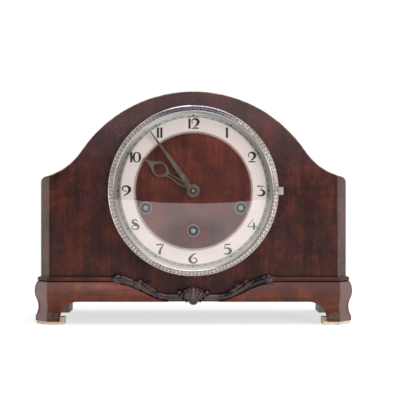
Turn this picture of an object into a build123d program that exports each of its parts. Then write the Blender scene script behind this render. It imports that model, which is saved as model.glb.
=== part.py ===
from build123d import *
import os
from math import asin, atan2, cos, pi, radians, sin, sqrt, tan

# Tambour mantel clock. Millimetres, +Z up, the dial faces -Y, +X is the viewer's right.
# The origin is under the middle of the overall box, on the surface the feet stand on.
os.makedirs("parts", exist_ok=True)

# Case outline in the front view
case_half_width = 184.8
case_height = 279.0
arch_radius = 162.0
arch_angle = 56.0
shoulder_radius = 75.0
shoulder_round = 7.0
corner_cant = 11.8
case_floor = 27.0
case_depth = 140.0

# Case boards
side_thickness = 8.0
top_thickness = 5.0
bottom_thickness = 12.0
back_thickness = 8.0

# Plinth moulding and bracket feet, reaches measured out from the case faces
plinth_top = 51.0
plinth_foot_bottom = 3.5
neck_reach = 4.0
bulge_reach = 7.0
bulge_height = 43.0
bend_height = 29.5
bend_reach = 5.0
waist_reach = 3.0
waist_height = 20.5
toe_reach = 6.0
toe_height = 9.0
foot_opening_half_width = 160.0
foot_cove_radius = 22.0
side_foot_length = 34.0
plinth_inner_end = 30.0
bead_height = 5.4
bead_reach = 4.0
bead_stand = 1.4
bead_inner_end = 96.0

# Pale blocks under and behind the feet
block_inset = 1.0
block_overhang = 5.0
block_depth = 15.0
block_rise = 8.0
block_post_width = 20.0

# Carving: the swags run from the outer knobs down to the shell in the middle.
# Points on them are given out from the middle and up from the case floor.
swag_lower_points = [(88.0, 21.0), (62.0, 12.2), (44.0, 3.8)]
swag_upper_points = [(38.0, 13.0), (52.0, 22.5), (70.0, 27.5), (86.0, 31.0)]
swag_reed_points = [(84.0, 25.0), (58.0, 18.0), (34.0, 7.5)]
swag_inner_low = 1.0
swag_inner_high = 10.0
swag_relief = 7.0
swag_reed_radius = 2.2
swag_knob_relief = 10.0
swag_outer_end = 96.0
swag_inner_end = 18.0
swag_knob_radius = 5.0
swag_knob_height = 55.0
shell_half_width = 18.0
shell_top = 45.0
shell_shoulder = 34.0
shell_bottom = 24.0
shell_leaf_x = 10.0
shell_relief = 12.5

# Dial, heights measured from the case front towards the viewer
dial_height = 159.7
dial_opening_radius = 88.0
dial_plate_radius = 98.0
dial_plate_thickness = 0.8
chapter_inner_radius = 71.4
chapter_outer_radius = 95.5
chapter_thickness = 0.9
line_ring_width = 2.4
line_ring_groove = 0.5
line_ring_rise = 1.5
line_ring_crown = 0.4
line_ring_slope = 0.3
dial_centre_thickness = 1.0
centre_hole_radius = 5.5
grommet_inner_radius = 6.3
grommet_wall = 0.6
grommet_outer_radius = 8.1
grommet_rise = 1.0

# Bezel door
bezel_outer_radius = 102.5
bezel_wall = 3.5
bezel_rim_height = 6.0
bezel_band_outer_radius = 101.0
bezel_band_outer_height = 8.2
sight_radius = 94.6
bezel_height = 10.9
bezel_lip = 1.3
bezel_seat_clearance = 0.3
glass_radius = 96.9
glass_edge_height = 7.7
glass_dome = 7.0
glass_thickness = 1.8
glass_ring_thickness = 0.9
catch_length = 5.2
catch_width = 9.3
catch_thickness = 2.0
catch_height = 1.4

# Bezel hinge, on the dial's left
hinge_offset = 2.2
hinge_height = 2.4
hinge_knuckle_radius = 1.7
hinge_pin_radius = 0.8
hinge_middle_length = 5.0
hinge_side_length = 4.6
hinge_plate_thickness = 0.4
hinge_plate_width = 5.5

# Back door
door_half_width = 95.0
door_sill = 60.0
door_margin = 28.0
door_clearance = 0.6
door_hinge_offset = 1.2
door_hinge_reach = 2.0
door_knuckle_radius = 1.7
door_pin_radius = 0.9
door_leaf_length = 24.0
door_leaf_width = 12.0
door_leaf_thickness = 0.8
door_hinge_low = 85.0
door_hinge_high = 185.0
latch_x = 78.0
latch_height = 140.0
latch_shaft_radius = 2.5
latch_bar_length = 22.0
latch_bar_width = 8.0
latch_bar_thickness = 2.0
latch_collar = 2.5
knob_radius = 6.0
knob_neck_radius = 3.5
knob_reach = 12.0

# Fits
running_fit = 0.05
axial_gap = 0.4
slip_fit = 0.02

# Movement frame, depths measured from the case front into the case
front_plate_depth = 20.0
plate_thickness = 2.5
plate_gap = 40.0
plate_half_width = 90.0
plate_top = 62.0
plate_bottom = -82.0
pillar_radius = 4.0
pillar_x = 82.0
pillar_edge = 8.0
post_radius = 4.5
post_x = 84.0
post_upper = 40.0
post_lower = -60.0
screw_radius = 2.0
screw_head_radius = 4.0
screw_head_thickness = 2.5
screw_grip = 7.0
screw_slot = 0.9

# Gearing: tooth proportions in modules
pressure_angle = 20.0
tooth_share = 0.42
wheel_addendum = 0.6
wheel_dedendum = 1.15
pinion_addendum = 0.8
pinion_dedendum = 0.95

# Going train
great_teeth = 60
great_module = 1.0
intermediate_pinion_teeth = 12
intermediate_teeth = 60
intermediate_module = 0.75
centre_pinion_teeth = 12
centre_teeth = 84
centre_module = 0.5
third_pinion_teeth = 8
third_teeth = 80
third_module = 0.45
escape_pinion_teeth = 8
escape_teeth = 45
escape_radius = 16.0
escape_tooth_depth = 2.4
escape_tooth_back = 0.6
wheel_thickness = 2.0
thin_wheel_thickness = 1.5
train_arbor_radius = 1.5
pivot_radius = 0.8
third_bearing = 140.0
window_count = 5
window_distance = 0.58
window_size = 0.22

# Places of the wheels in the gap between the plates, measured from its front
intermediate_gap = 3.0
centre_wheel_gap = 8.5
great_wheel_gap = 14.0
third_wheel_gap = 20.0
escape_wheel_gap = 30.0
side_drum_gap = 7.0
pinion_overlap = 1.0

# Motion work
cannon_teeth = 14
minute_wheel_teeth = 42
motion_module = 0.75
minute_pinion_teeth = 12
hour_wheel_teeth = 48
cannon_radius = 2.85
hour_pipe_radius = 4.2
minute_bearing = 40.0
motion_gap = 2.5
motion_step = 1.0
hour_wheel_gap = 3.5

# Barrels and winding arbors, placed from the dial centre
side_winding_x = 57.0
side_winding_z = -20.4
going_winding_z = -47.7
barrel_radius = 26.0
barrel_length = 21.0
great_wheel_thickness = 3.0
arbor_radius = 3.0
arbor_pivot_radius = 2.0
key_square = 4.2
key_square_start = 8.0
key_end_height = 2.2

# Hands
hour_hand_thickness = 0.8
minute_hand_thickness = 0.8
hand_air = 0.8
hand_edge = 0.25
# Points on the hands: distance from the dial centre and half the width there
hour_hand_angle = 57.1
hour_stem_points = [(11.0, 1.7), (24.0, 2.9), (36.0, 3.2)]
hour_stem_points += [(42.0, 7.4), (47.5, 9.2), (53.0, 7.6), (58.0, 4.0)]
hour_tip_points = [(64.0, 1.7), (71.6, 0.4)]
hour_loop_points = [(39.4, 0.0), (42.4, 4.9), (47.6, 7.2), (52.6, 4.9), (56.4, 0.0)]
hour_slot = (13.6, 36.4)
hour_slot_width = 2.6
hour_bead_distance = 9.6
hour_bead_radius = 2.3
hour_boss_radius = 7.9
minute_hand_angle = 35.9
minute_hand_points = [(10.5, 1.3), (13.5, 3.3), (91.0, 0.5)]
minute_boss_radius = 7.6
nut_radius = 4.0
nut_height = 2.2

# Escapement and pendulum
gravity = 9810.0
anchor_distance = 22.0
anchor_clearance = 1.5
anchor_span = 32.0
anchor_thickness = 2.5
anchor_nib = 5.0
anchor_arm = 2.0
crutch_length = 32.0
crutch_width = 3.0
crutch_thickness = 2.0
crutch_gap = 1.5
crutch_play = 0.3
crutch_loop_wall = 1.8
pendulum_depth_behind_plate = 9.0
cock_half_width = 6.0
cock_lift = 5.0
cock_height = 7.0
cheek_half_width = 3.0
eye_radius = 2.6
chop_half_width = 3.0
suspension_cheek = 2.0
suspension_width = 3.4
suspension_pin_radius = 1.2
suspension_strip = 0.4
suspension_length = 12.0
chop_height = 6.0
rod_radius = 1.5
bob_radius = 14.0
bob_thickness = 11.0
bob_round = 3.0
rating_nut_radius = 4.0
rating_nut_height = 4.0
rod_tail = 3.0

# Chime: rail, hammers, gong block and rods
rail_x = -60.0
rail_z = -66.0
rail_radius = 2.0
rail_foot_radius = 6.0
rail_foot_thickness = 3.0
hammer_count = 4
chime_bob_clearance = 12.5
chime_door_clearance = 16.0
hammer_hub_radius = 5.0
hammer_hub_share = 0.625
hammer_head_share = 0.425
hammer_arm_width = 2.4
hammer_arm_share = 0.2
hammer_head_offset = 27.0
hammer_head_height = 12.0
hammer_gap = 2.0
gong_rod_share = 0.225
gong_root_share = 0.125
gong_root_length = 12.0
gong_rod_lift = 13.0
gong_block_inset = 25.0
gong_block_width = 28.0
gong_block_margin = 6.0
gong_block_height = 20.0
gong_end_clearance = 57.0
gong_step = 16.0

# Places worked out from the sizes above
front_thickness = corner_cant
panel_half_width = case_half_width - corner_cant
glass_apex = glass_edge_height + glass_dome + glass_thickness
case_front = (glass_apex - case_depth - knob_reach) / 2
case_back = case_front + case_depth
arch_centre_z = case_height - arch_radius
arch_turn = radians(arch_angle)
shoulder_x = (arch_radius + shoulder_radius) * sin(arch_turn)
shoulder_z = arch_centre_z + (arch_radius + shoulder_radius) * cos(arch_turn)
bottom_top = case_floor + bottom_thickness
dial_face = dial_plate_thickness + dial_centre_thickness
hour_hand_base = dial_face + grommet_rise + hand_air
minute_hand_base = hour_hand_base + hour_hand_thickness + 2 * hand_air
gap_front = front_plate_depth + plate_thickness
gap_back = gap_front + plate_gap
plate_rear = gap_back + plate_thickness
mitre_lean = tan(radians(22.5))
dial_axis = Axis((0, case_front, dial_height), (0, -1, 0))


def facing(depth):
    """Plane facing the viewer at a depth behind the case front, with x across and y up."""
    return Plane(origin=(0, case_front + depth, 0), x_dir=(1, 0, 0), z_dir=(0, -1, 0))


def dial_plane(depth, x=0.0, z=0.0, turn=0.0):
    """Plane facing the viewer, centred on a point from the dial centre, turned in radians."""
    return Plane(
        origin=(x, case_front + depth, dial_height + z),
        x_dir=(cos(turn), 0, sin(turn)),
        z_dir=(0, -1, 0),
    )


def turned_plane():
    """Plane for profiles turned round the dial axis: x is the radius, y the height to the viewer."""
    return Plane(origin=(0, case_front, dial_height), x_dir=(1, 0, 0), z_dir=(0, 0, -1))


def disc(radius, front, back, x=0.0, z=0.0, mode=Mode.ADD):
    """Adds or cuts a round along Y between two depths, centred on a point from the dial centre."""
    with Locations(dial_plane(back, x, z)):
        Cylinder(radius, back - front, align=(Align.CENTER, Align.CENTER, Align.MIN), mode=mode)


def block(x_range, depth_range, z_range, mode=Mode.ADD):
    """Adds or cuts a box between pairs of x, depth and z values."""
    with Locations((x_range[0], case_front + depth_range[0], z_range[0])):
        Box(
            x_range[1] - x_range[0],
            depth_range[1] - depth_range[0],
            z_range[1] - z_range[0],
            align=(Align.MIN, Align.MIN, Align.MIN),
            mode=mode,
        )


def upright(radius, x, depth, low, high, mode=Mode.ADD):
    """Adds or cuts a vertical round between two heights."""
    with Locations((x, case_front + depth, low)):
        Cylinder(radius, high - low, align=(Align.CENTER, Align.CENTER, Align.MIN), mode=mode)


def save(piece, name):
    """Labels a finished piece and writes it."""
    piece.part.label = name
    export_step(piece.part, f"parts/{name}.step")


# Case outline


def shoulder_edge(x, inset):
    """Height of the hollow shoulder at x, or of a line that much inside it."""
    return shoulder_z - sqrt((shoulder_radius + inset) ** 2 - (shoulder_x - x) ** 2)


def arch_edge(half_width, inset):
    """Draws the top of the case from the right shoulder over the arch to the left one."""
    hollow = shoulder_radius + inset
    crown = arch_radius - inset
    end_turn = asin((shoulder_x - half_width) / hollow)
    middle_turn = (arch_turn + end_turn) / 2
    knee = (crown * sin(arch_turn), arch_centre_z + crown * cos(arch_turn))
    middle = (shoulder_x - hollow * sin(middle_turn), shoulder_z - hollow * cos(middle_turn))
    end = (half_width, shoulder_edge(half_width, inset))
    ThreePointArc(end, middle, knee)
    ThreePointArc(knee, (0, case_height - inset), (-knee[0], knee[1]))
    ThreePointArc((-knee[0], knee[1]), (-middle[0], middle[1]), (-end[0], end[1]))


screw_places = [(x, z) for x in (-post_x, post_x) for z in (post_lower, post_upper)]

with BuildPart() as front_panel:
    panel_end = shoulder_edge(panel_half_width, 0)
    with BuildSketch(facing(front_thickness)):
        with BuildLine():
            arch_edge(panel_half_width, 0)
            Polyline(
                (-panel_half_width, panel_end),
                (-panel_half_width, case_floor),
                (panel_half_width, case_floor),
                (panel_half_width, panel_end),
            )
        make_face()
        with Locations((0, dial_height)):
            Circle(dial_opening_radius, mode=Mode.SUBTRACT)
    extrude(amount=front_thickness)
    for x, z in screw_places:
        disc(screw_radius, front_thickness - screw_grip, front_thickness, x, z, Mode.SUBTRACT)
save(front_panel, "front_panel")

with BuildPart() as corner_strips:
    with BuildSketch(facing(corner_cant)) as strip_face:
        Polygon(
            (panel_half_width, case_floor),
            (case_half_width, case_floor),
            (case_half_width, shoulder_edge(case_half_width, 0)),
            (panel_half_width, shoulder_edge(panel_half_width, 0)),
        )
        fillet(strip_face.vertices().group_by(Axis.X)[-1].sort_by(Axis.Y)[-1], shoulder_round)
    extrude(amount=corner_cant)
    with BuildSketch(Plane.XY.offset(case_floor)):
        Polygon(
            (panel_half_width, case_front),
            (case_half_width, case_front),
            (case_half_width, case_front + corner_cant),
        )
    extrude(amount=case_height, mode=Mode.SUBTRACT)
    mirror(about=Plane.YZ)
save(corner_strips, "corner_strips")

with BuildPart() as arched_top:
    top_half_width = case_half_width - side_thickness
    with BuildSketch(facing(case_depth - back_thickness)):
        with BuildLine():
            arch_edge(top_half_width, 0)
            arch_edge(top_half_width, top_thickness)
            for side in (-1, 1):
                Line(
                    (side * top_half_width, shoulder_edge(top_half_width, 0)),
                    (side * top_half_width, shoulder_edge(top_half_width, top_thickness)),
                )
        make_face()
    extrude(amount=case_depth - back_thickness - front_thickness)
save(arched_top, "arched_top")

with BuildPart() as side_panels:
    with BuildSketch(facing(case_depth - back_thickness)) as side_face:
        Polygon(
            (top_half_width, case_floor),
            (case_half_width, case_floor),
            (case_half_width, shoulder_edge(case_half_width, 0)),
            (top_half_width, shoulder_edge(top_half_width, 0)),
        )
        fillet(side_face.vertices().group_by(Axis.X)[-1].sort_by(Axis.Y)[-1], shoulder_round)
    extrude(amount=case_depth - back_thickness - front_thickness)
    mirror(about=Plane.YZ)
save(side_panels, "side_panels")

with BuildPart() as bottom_board:
    block(
        (-top_half_width, top_half_width),
        (front_thickness, case_depth - back_thickness),
        (case_floor, bottom_top),
    )
save(bottom_board, "bottom_board")


def door_edge(inset):
    """Draws the outline of the back door's opening, or of a line that much inside it."""
    half_width = door_half_width - inset
    radius = arch_radius - door_margin - inset
    spring = arch_centre_z + sqrt(radius**2 - half_width**2)
    ThreePointArc((half_width, spring), (0, arch_centre_z + radius), (-half_width, spring))
    Polyline(
        (-half_width, spring),
        (-half_width, door_sill + inset),
        (half_width, door_sill + inset),
        (half_width, spring),
    )


with BuildPart() as back_frame:
    frame_end = shoulder_edge(case_half_width, 0)
    with BuildSketch(facing(case_depth)) as frame_face:
        with BuildLine():
            arch_edge(case_half_width, 0)
            Polyline(
                (-case_half_width, frame_end),
                (-case_half_width, case_floor),
                (case_half_width, case_floor),
                (case_half_width, frame_end),
            )
        make_face()
        corner_tops = frame_face.vertices().filter_by(
            lambda corner: abs(abs(corner.X) - case_half_width) < slip_fit and corner.Y > bottom_top
        )
        fillet(corner_tops, shoulder_round)
    extrude(amount=back_thickness)
    with BuildSketch(facing(case_depth)):
        with BuildLine():
            door_edge(0)
        make_face()
    extrude(amount=back_thickness, mode=Mode.SUBTRACT)
save(back_frame, "back_frame")

# Plinth, bead and foot blocks


def plinth_run(inner_end):
    """Draws the line of the case faces from the front, round the canted corner, to the back."""
    Polyline(
        (-inner_end, case_front),
        (-panel_half_width, case_front),
        (-case_half_width, case_front + corner_cant),
        (-case_half_width, case_back),
    )


def section_plane(inner_end):
    """Plane across the start of a moulding: x is the reach from the case face, y is the height."""
    return Plane(origin=(-inner_end, case_front, 0), x_dir=(0, -1, 0), z_dir=(-1, 0, 0))


def on_swag(points):
    """Places on the left swag, from points given out from the middle and up from the case floor."""
    return [(-x, case_floor + z) for x, z in points]


swag_lower = on_swag(swag_lower_points + [(swag_inner_end, swag_inner_low)])
swag_upper = on_swag([(swag_inner_end, swag_inner_high)] + swag_upper_points)
swag_reed = on_swag(swag_reed_points)
swag_knob_x = swag_knob_radius - swag_outer_end
swag_knob_z = swag_knob_height - dial_height

with BuildPart() as plinth_left:
    with BuildLine() as plinth_path:
        plinth_run(plinth_inner_end)
    with BuildSketch(section_plane(plinth_inner_end)):
        with BuildLine():
            ThreePointArc((toe_reach, toe_height), (waist_reach, waist_height), (bend_reach, bend_height))
            ThreePointArc((bend_reach, bend_height), (bulge_reach, bulge_height), (neck_reach, plinth_top))
            Polyline(
                (neck_reach, plinth_top),
                (0, plinth_top),
                (0, plinth_foot_bottom),
                (toe_reach, plinth_foot_bottom),
                (toe_reach, toe_height),
            )
        make_face()
    sweep(path=plinth_path.line, transition=Transition.RIGHT)
    with BuildSketch(facing(0)) as front_opening:
        with Locations((0, (case_floor + plinth_foot_bottom) / 2)):
            Rectangle(2 * foot_opening_half_width, case_floor - plinth_foot_bottom)
        fillet(front_opening.vertices().group_by(Axis.Y)[-1], foot_cove_radius)
    extrude(amount=2 * bulge_reach, mode=Mode.SUBTRACT)
    side_middle = case_front + case_depth / 2
    side_plane = Plane(origin=(-case_half_width, side_middle, 0), x_dir=(0, -1, 0), z_dir=(-1, 0, 0))
    with BuildSketch(side_plane) as gap:
        with Locations((0, (case_floor + plinth_foot_bottom) / 2)):
            Rectangle(case_depth - 2 * side_foot_length, case_floor - plinth_foot_bottom)
        fillet(gap.vertices().group_by(Axis.Y)[-1], foot_cove_radius)
    extrude(amount=2 * bulge_reach, mode=Mode.SUBTRACT)
    with BuildSketch(facing(0)):
        with BuildLine():
            Spline(*swag_lower)
            Polyline(
                swag_lower[-1],
                (-swag_inner_end, plinth_top + bead_height),
                (swag_lower[0][0], plinth_top + bead_height),
                swag_lower[0],
            )
        make_face()
    extrude(amount=2 * bulge_reach, mode=Mode.SUBTRACT)
    disc(swag_knob_radius, -swag_knob_relief, 0, swag_knob_x, swag_knob_z, Mode.SUBTRACT)
save(plinth_left, "plinth_left")

with BuildPart() as plinth_right:
    mirror(plinth_left.part, about=Plane.YZ)
save(plinth_right, "plinth_right")

with BuildPart() as bead_mouldings:
    with BuildLine() as bead_path:
        plinth_run(bead_inner_end)
    with BuildSketch(section_plane(bead_inner_end)):
        with BuildLine():
            ThreePointArc(
                (bead_stand, plinth_top),
                (bead_reach, plinth_top + bead_height / 2),
                (bead_stand, plinth_top + bead_height),
            )
            Polyline(
                (bead_stand, plinth_top + bead_height),
                (0, plinth_top + bead_height),
                (0, plinth_top),
                (bead_stand, plinth_top),
            )
        make_face()
    sweep(path=bead_path.line, transition=Transition.RIGHT)
    mirror(about=Plane.YZ)
save(bead_mouldings, "bead_mouldings")


def front_foot_plan(reach, inner, depth):
    """Outline from above of the left front foot, that far outside the case faces."""
    lean = reach * mitre_lean
    rear = case_front + depth
    Polygon(
        (-inner, case_front - reach),
        (-panel_half_width - lean, case_front - reach),
        (-case_half_width - reach, case_front + corner_cant - lean),
        (-case_half_width - reach, rear),
        (-inner, rear),
    )


def rear_foot_plan(reach, inner, depth):
    """Outline from above of the left rear foot."""
    front = case_back - depth
    Polygon(
        (-inner, front),
        (-inner, case_back),
        (-case_half_width - reach, case_back),
        (-case_half_width - reach, front),
    )


block_inner = foot_opening_half_width - block_overhang
post_inner = case_half_width - block_post_width
block_steps = [
    (toe_reach - block_inset, block_inner, block_depth, 0.0, plinth_foot_bottom),
    (0.0, block_inner, block_depth, plinth_foot_bottom, block_rise),
    (0.0, post_inner, side_foot_length, block_rise, case_floor),
]

with BuildPart() as foot_blocks:
    for reach, inner, depth, low, high in block_steps:
        with BuildSketch(Plane.XY.offset(low)):
            front_foot_plan(reach, inner, depth)
            rear_foot_plan(reach, post_inner, side_foot_length)
        extrude(amount=high - low)
    mirror(about=Plane.YZ)
save(foot_blocks, "foot_blocks")

# Carving on the front: two swags and a fluted shell with a drop

with BuildPart() as carved_swags:
    with BuildSketch(facing(0)):
        with BuildLine():
            Spline(*swag_lower)
            Line(swag_lower[-1], swag_upper[0])
            Spline(*swag_upper)
            Line(swag_upper[-1], swag_lower[0])
        make_face()
    extrude(amount=swag_relief)
    disc(swag_knob_radius, -swag_knob_relief, 0, swag_knob_x, swag_knob_z)
    for rise in (-swag_reed_radius, swag_reed_radius):
        with BuildLine(facing(-swag_relief)) as reed_path:
            ThreePointArc(*[(x, z + rise) for x, z in swag_reed])
        with BuildSketch(Plane(origin=reed_path.line @ 0, z_dir=reed_path.line % 0)):
            Circle(swag_reed_radius)
        sweep(path=reed_path.line)
    mirror(about=Plane.YZ)
save(carved_swags, "carved_swags")

with BuildPart() as carved_shell:
    with BuildSketch(facing(0)):
        with BuildLine():
            ThreePointArc(
                (-shell_half_width, shell_shoulder),
                (0, shell_top),
                (shell_half_width, shell_shoulder),
            )
            for side in (-1, 1):
                Spline(
                    (side * shell_half_width, shell_shoulder),
                    (side * shell_leaf_x, case_floor + swag_inner_low),
                    (0, shell_bottom),
                )
        make_face()
    extrude(amount=shell_relief)
save(carved_shell, "carved_shell")

# Dial: plate, chapter ring, line ring, wood centre and the winding-hole grommets

winding_places = [
    (-side_winding_x, side_winding_z),
    (0.0, going_winding_z),
    (side_winding_x, side_winding_z),
]
grommet_tube_radius = grommet_inner_radius + grommet_wall
winding_hole_radius = grommet_tube_radius + running_fit
line_ring_inner = chapter_inner_radius - line_ring_width

with BuildPart() as dial_plate:
    disc(dial_plate_radius, -dial_plate_thickness, 0)
    disc(centre_hole_radius, -dial_plate_thickness, 0, mode=Mode.SUBTRACT)
    for x, z in winding_places:
        disc(winding_hole_radius, -dial_plate_thickness, 0, x, z, Mode.SUBTRACT)
save(dial_plate, "dial_plate")

with BuildPart() as chapter_ring:
    disc(chapter_outer_radius, -dial_plate_thickness - chapter_thickness, -dial_plate_thickness)
    disc(
        chapter_inner_radius,
        -dial_plate_thickness - chapter_thickness,
        -dial_plate_thickness,
        mode=Mode.SUBTRACT,
    )
save(chapter_ring, "chapter_ring")

with BuildPart() as dial_line_ring:
    with BuildSketch(turned_plane()):
        line_bead = (line_ring_width - line_ring_groove) / 2
        line_slope = line_bead * line_ring_slope
        line_top = dial_plate_thickness + line_ring_rise
        line_foot = line_top - line_ring_crown
        line_points = [(line_ring_inner, dial_plate_thickness)]
        for start in (line_ring_inner, chapter_inner_radius - line_bead):
            line_points += [(start, line_foot), (start + line_slope, line_top)]
            line_points += [(start + line_bead - line_slope, line_top), (start + line_bead, line_foot)]
        Polygon(*line_points, (chapter_inner_radius, dial_plate_thickness))
    revolve(axis=dial_axis)
save(dial_line_ring, "dial_line_ring")

with BuildPart() as dial_centre:
    disc(line_ring_inner, -dial_face, -dial_plate_thickness)
    disc(centre_hole_radius, -dial_face, -dial_plate_thickness, mode=Mode.SUBTRACT)
    for x, z in winding_places:
        disc(winding_hole_radius, -dial_face, -dial_plate_thickness, x, z, Mode.SUBTRACT)
save(dial_centre, "dial_centre")

with BuildPart() as winding_grommets:
    for x, z in winding_places:
        disc(grommet_tube_radius, -dial_face, 0, x, z)
        with Locations(dial_plane(-dial_face, x, z)):
            Cone(
                grommet_outer_radius,
                grommet_tube_radius,
                grommet_rise,
                align=(Align.CENTER, Align.CENTER, Align.MIN),
            )
        disc(grommet_inner_radius, -dial_face - grommet_rise, 0, x, z, Mode.SUBTRACT)
save(winding_grommets, "winding_grommets")

# Bezel door

glass_sphere = (glass_radius**2 + glass_dome**2) / (2 * glass_dome)


def dome(radius):
    """Height of the glass's inner surface at a radius."""
    return glass_edge_height + glass_dome - glass_sphere + sqrt(glass_sphere**2 - radius**2)


bezel_inner_radius = bezel_outer_radius - bezel_wall
glass_bore_radius = glass_radius + slip_fit
lip_bottom = dome(sight_radius) + glass_thickness + slip_fit
ring_top = glass_edge_height - slip_fit

with BuildPart() as bezel_ring:
    with BuildSketch(turned_plane()):
        with BuildLine():
            Polyline(
                (bezel_inner_radius, bezel_seat_clearance),
                (bezel_outer_radius, bezel_seat_clearance),
                (bezel_outer_radius, bezel_rim_height),
            )
            RadiusArc(
                (bezel_outer_radius, bezel_rim_height),
                (bezel_band_outer_radius, bezel_band_outer_height),
                -bezel_wall,
            )
            Polyline(
                (bezel_band_outer_radius, bezel_band_outer_height),
                (sight_radius + bezel_lip / 2, bezel_height),
                (sight_radius, bezel_height - bezel_lip / 2),
                (sight_radius, lip_bottom),
                (glass_bore_radius, lip_bottom),
                (glass_bore_radius, ring_top - glass_ring_thickness),
                (bezel_inner_radius, ring_top - glass_ring_thickness - bezel_wall / 2),
                (bezel_inner_radius, bezel_seat_clearance),
            )
        make_face()
    revolve(axis=dial_axis)
save(bezel_ring, "bezel_ring")

with BuildPart() as bezel_glass:
    half_radius = glass_radius / 2
    with BuildSketch(turned_plane()):
        with BuildLine():
            ThreePointArc(
                (0, dome(0)),
                (half_radius, dome(half_radius)),
                (glass_radius, dome(glass_radius)),
            )
            ThreePointArc(
                (0, dome(0) + glass_thickness),
                (half_radius, dome(half_radius) + glass_thickness),
                (glass_radius, dome(glass_radius) + glass_thickness),
            )
            Line((0, dome(0)), (0, dome(0) + glass_thickness))
            Line((glass_radius, dome(glass_radius)), (glass_radius, dome(glass_radius) + glass_thickness))
        make_face()
    revolve(axis=dial_axis)
save(bezel_glass, "bezel_glass")

with BuildPart() as glass_ring:
    disc(glass_radius, -ring_top, glass_ring_thickness - ring_top)
    disc(sight_radius, -ring_top, glass_ring_thickness - ring_top, mode=Mode.SUBTRACT)
save(glass_ring, "glass_ring")

with BuildPart() as bezel_catch_tab:
    block(
        (bezel_inner_radius, bezel_outer_radius + catch_length),
        (-catch_height - catch_thickness, -catch_height),
        (dial_height - catch_width / 2, dial_height + catch_width / 2),
    )
    disc(bezel_outer_radius, -bezel_height, 0, mode=Mode.SUBTRACT)
save(bezel_catch_tab, "bezel_catch_tab")

hinge_x = -bezel_outer_radius - hinge_offset
middle_low = dial_height - hinge_middle_length / 2
middle_high = dial_height + hinge_middle_length / 2
hinge_low = middle_low - axial_gap - hinge_side_length
hinge_top = middle_high + axial_gap + hinge_side_length

with BuildPart() as bezel_hinge_leaf:
    block(
        (hinge_x, -bezel_inner_radius),
        (-hinge_height - hinge_pin_radius, -hinge_height + hinge_pin_radius),
        (middle_low, middle_high),
    )
    disc(bezel_outer_radius, -bezel_height, 0, mode=Mode.SUBTRACT)
    upright(hinge_knuckle_radius, hinge_x, -hinge_height, middle_low, middle_high)
    upright(hinge_pin_radius + running_fit, hinge_x, -hinge_height, middle_low, middle_high, Mode.SUBTRACT)
save(bezel_hinge_leaf, "bezel_hinge_leaf")

with BuildPart() as bezel_hinge_bracket:
    block(
        (hinge_x - hinge_plate_width, hinge_x + hinge_knuckle_radius),
        (-hinge_plate_thickness, 0),
        (hinge_low, hinge_top),
    )
    for low, high in ((hinge_low, middle_low - axial_gap), (middle_high + axial_gap, hinge_top)):
        upright(hinge_knuckle_radius, hinge_x, -hinge_height, low, high)
        block(
            (hinge_x - hinge_pin_radius, hinge_x + hinge_pin_radius),
            (-hinge_height, -hinge_plate_thickness),
            (low, high),
        )
    upright(hinge_pin_radius, hinge_x, -hinge_height, hinge_low, hinge_top)
save(bezel_hinge_bracket, "bezel_hinge_bracket")

# Back door, its hinges and its turning latch

with BuildPart() as back_door:
    with BuildSketch(facing(case_depth)):
        with BuildLine():
            door_edge(door_clearance)
        make_face()
    extrude(amount=back_thickness)
    disc(
        latch_shaft_radius + running_fit,
        case_depth - back_thickness,
        case_depth,
        latch_x,
        latch_height - dial_height,
        Mode.SUBTRACT,
    )
save(back_door, "back_door")

door_hinge_x = -door_half_width - door_hinge_offset
door_hinge_depth = case_depth + door_hinge_reach
door_edge_x = -door_half_width + door_clearance
leaf_third = door_leaf_length / 3

with BuildPart() as door_hinge_plates:
    for middle in (door_hinge_low, door_hinge_high):
        low = middle - door_leaf_length / 2
        high = middle + door_leaf_length / 2
        block(
            (door_hinge_x - door_leaf_width, door_hinge_x - door_knuckle_radius),
            (case_depth, case_depth + door_leaf_thickness),
            (low, high),
        )
        for start, end in ((low, low + leaf_third), (high - leaf_third, high)):
            upright(door_knuckle_radius, door_hinge_x, door_hinge_depth, start, end)
            block(
                (door_hinge_x - door_leaf_width / 2, door_hinge_x),
                (case_depth, case_depth + door_hinge_reach),
                (start, end),
            )
        upright(door_pin_radius, door_hinge_x, door_hinge_depth, low, high)
save(door_hinge_plates, "door_hinge_plates")

with BuildPart() as door_hinge_leaves:
    for middle in (door_hinge_low, door_hinge_high):
        low = middle - leaf_third / 2 + axial_gap
        high = middle + leaf_third / 2 - axial_gap
        block(
            (door_edge_x, door_edge_x + door_leaf_width),
            (case_depth, case_depth + door_leaf_thickness),
            (middle - door_leaf_length / 2, middle + door_leaf_length / 2),
        )
        block(
            (door_hinge_x, door_edge_x + door_leaf_thickness),
            (case_depth + axial_gap, case_depth + door_hinge_reach),
            (low, high),
        )
        upright(door_knuckle_radius, door_hinge_x, door_hinge_depth, low, high)
        upright(door_pin_radius + running_fit, door_hinge_x, door_hinge_depth, low, high, Mode.SUBTRACT)
save(door_hinge_leaves, "door_hinge_leaves")

latch_z = latch_height - dial_height
latch_bar_back = case_depth - back_thickness - axial_gap
latch_bar_front = latch_bar_back - latch_bar_thickness

with BuildPart() as door_latch:
    disc(latch_shaft_radius, latch_bar_front, case_depth + latch_collar, latch_x, latch_z)
    block(
        (latch_x - latch_bar_width / 2, latch_x + latch_bar_width / 2),
        (latch_bar_front, latch_bar_back),
        (latch_height - latch_bar_width / 2, latch_height + latch_bar_length),
    )
    disc(knob_neck_radius, case_depth + axial_gap, case_depth + latch_collar, latch_x, latch_z)
    knob_depth = case_depth + knob_reach - knob_radius
    with Locations((latch_x, case_front + knob_depth, latch_height)):
        Sphere(knob_radius)
    disc(knob_neck_radius, case_depth + axial_gap, knob_depth, latch_x, latch_z)
save(door_latch, "door_latch")

# Movement frame

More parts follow.
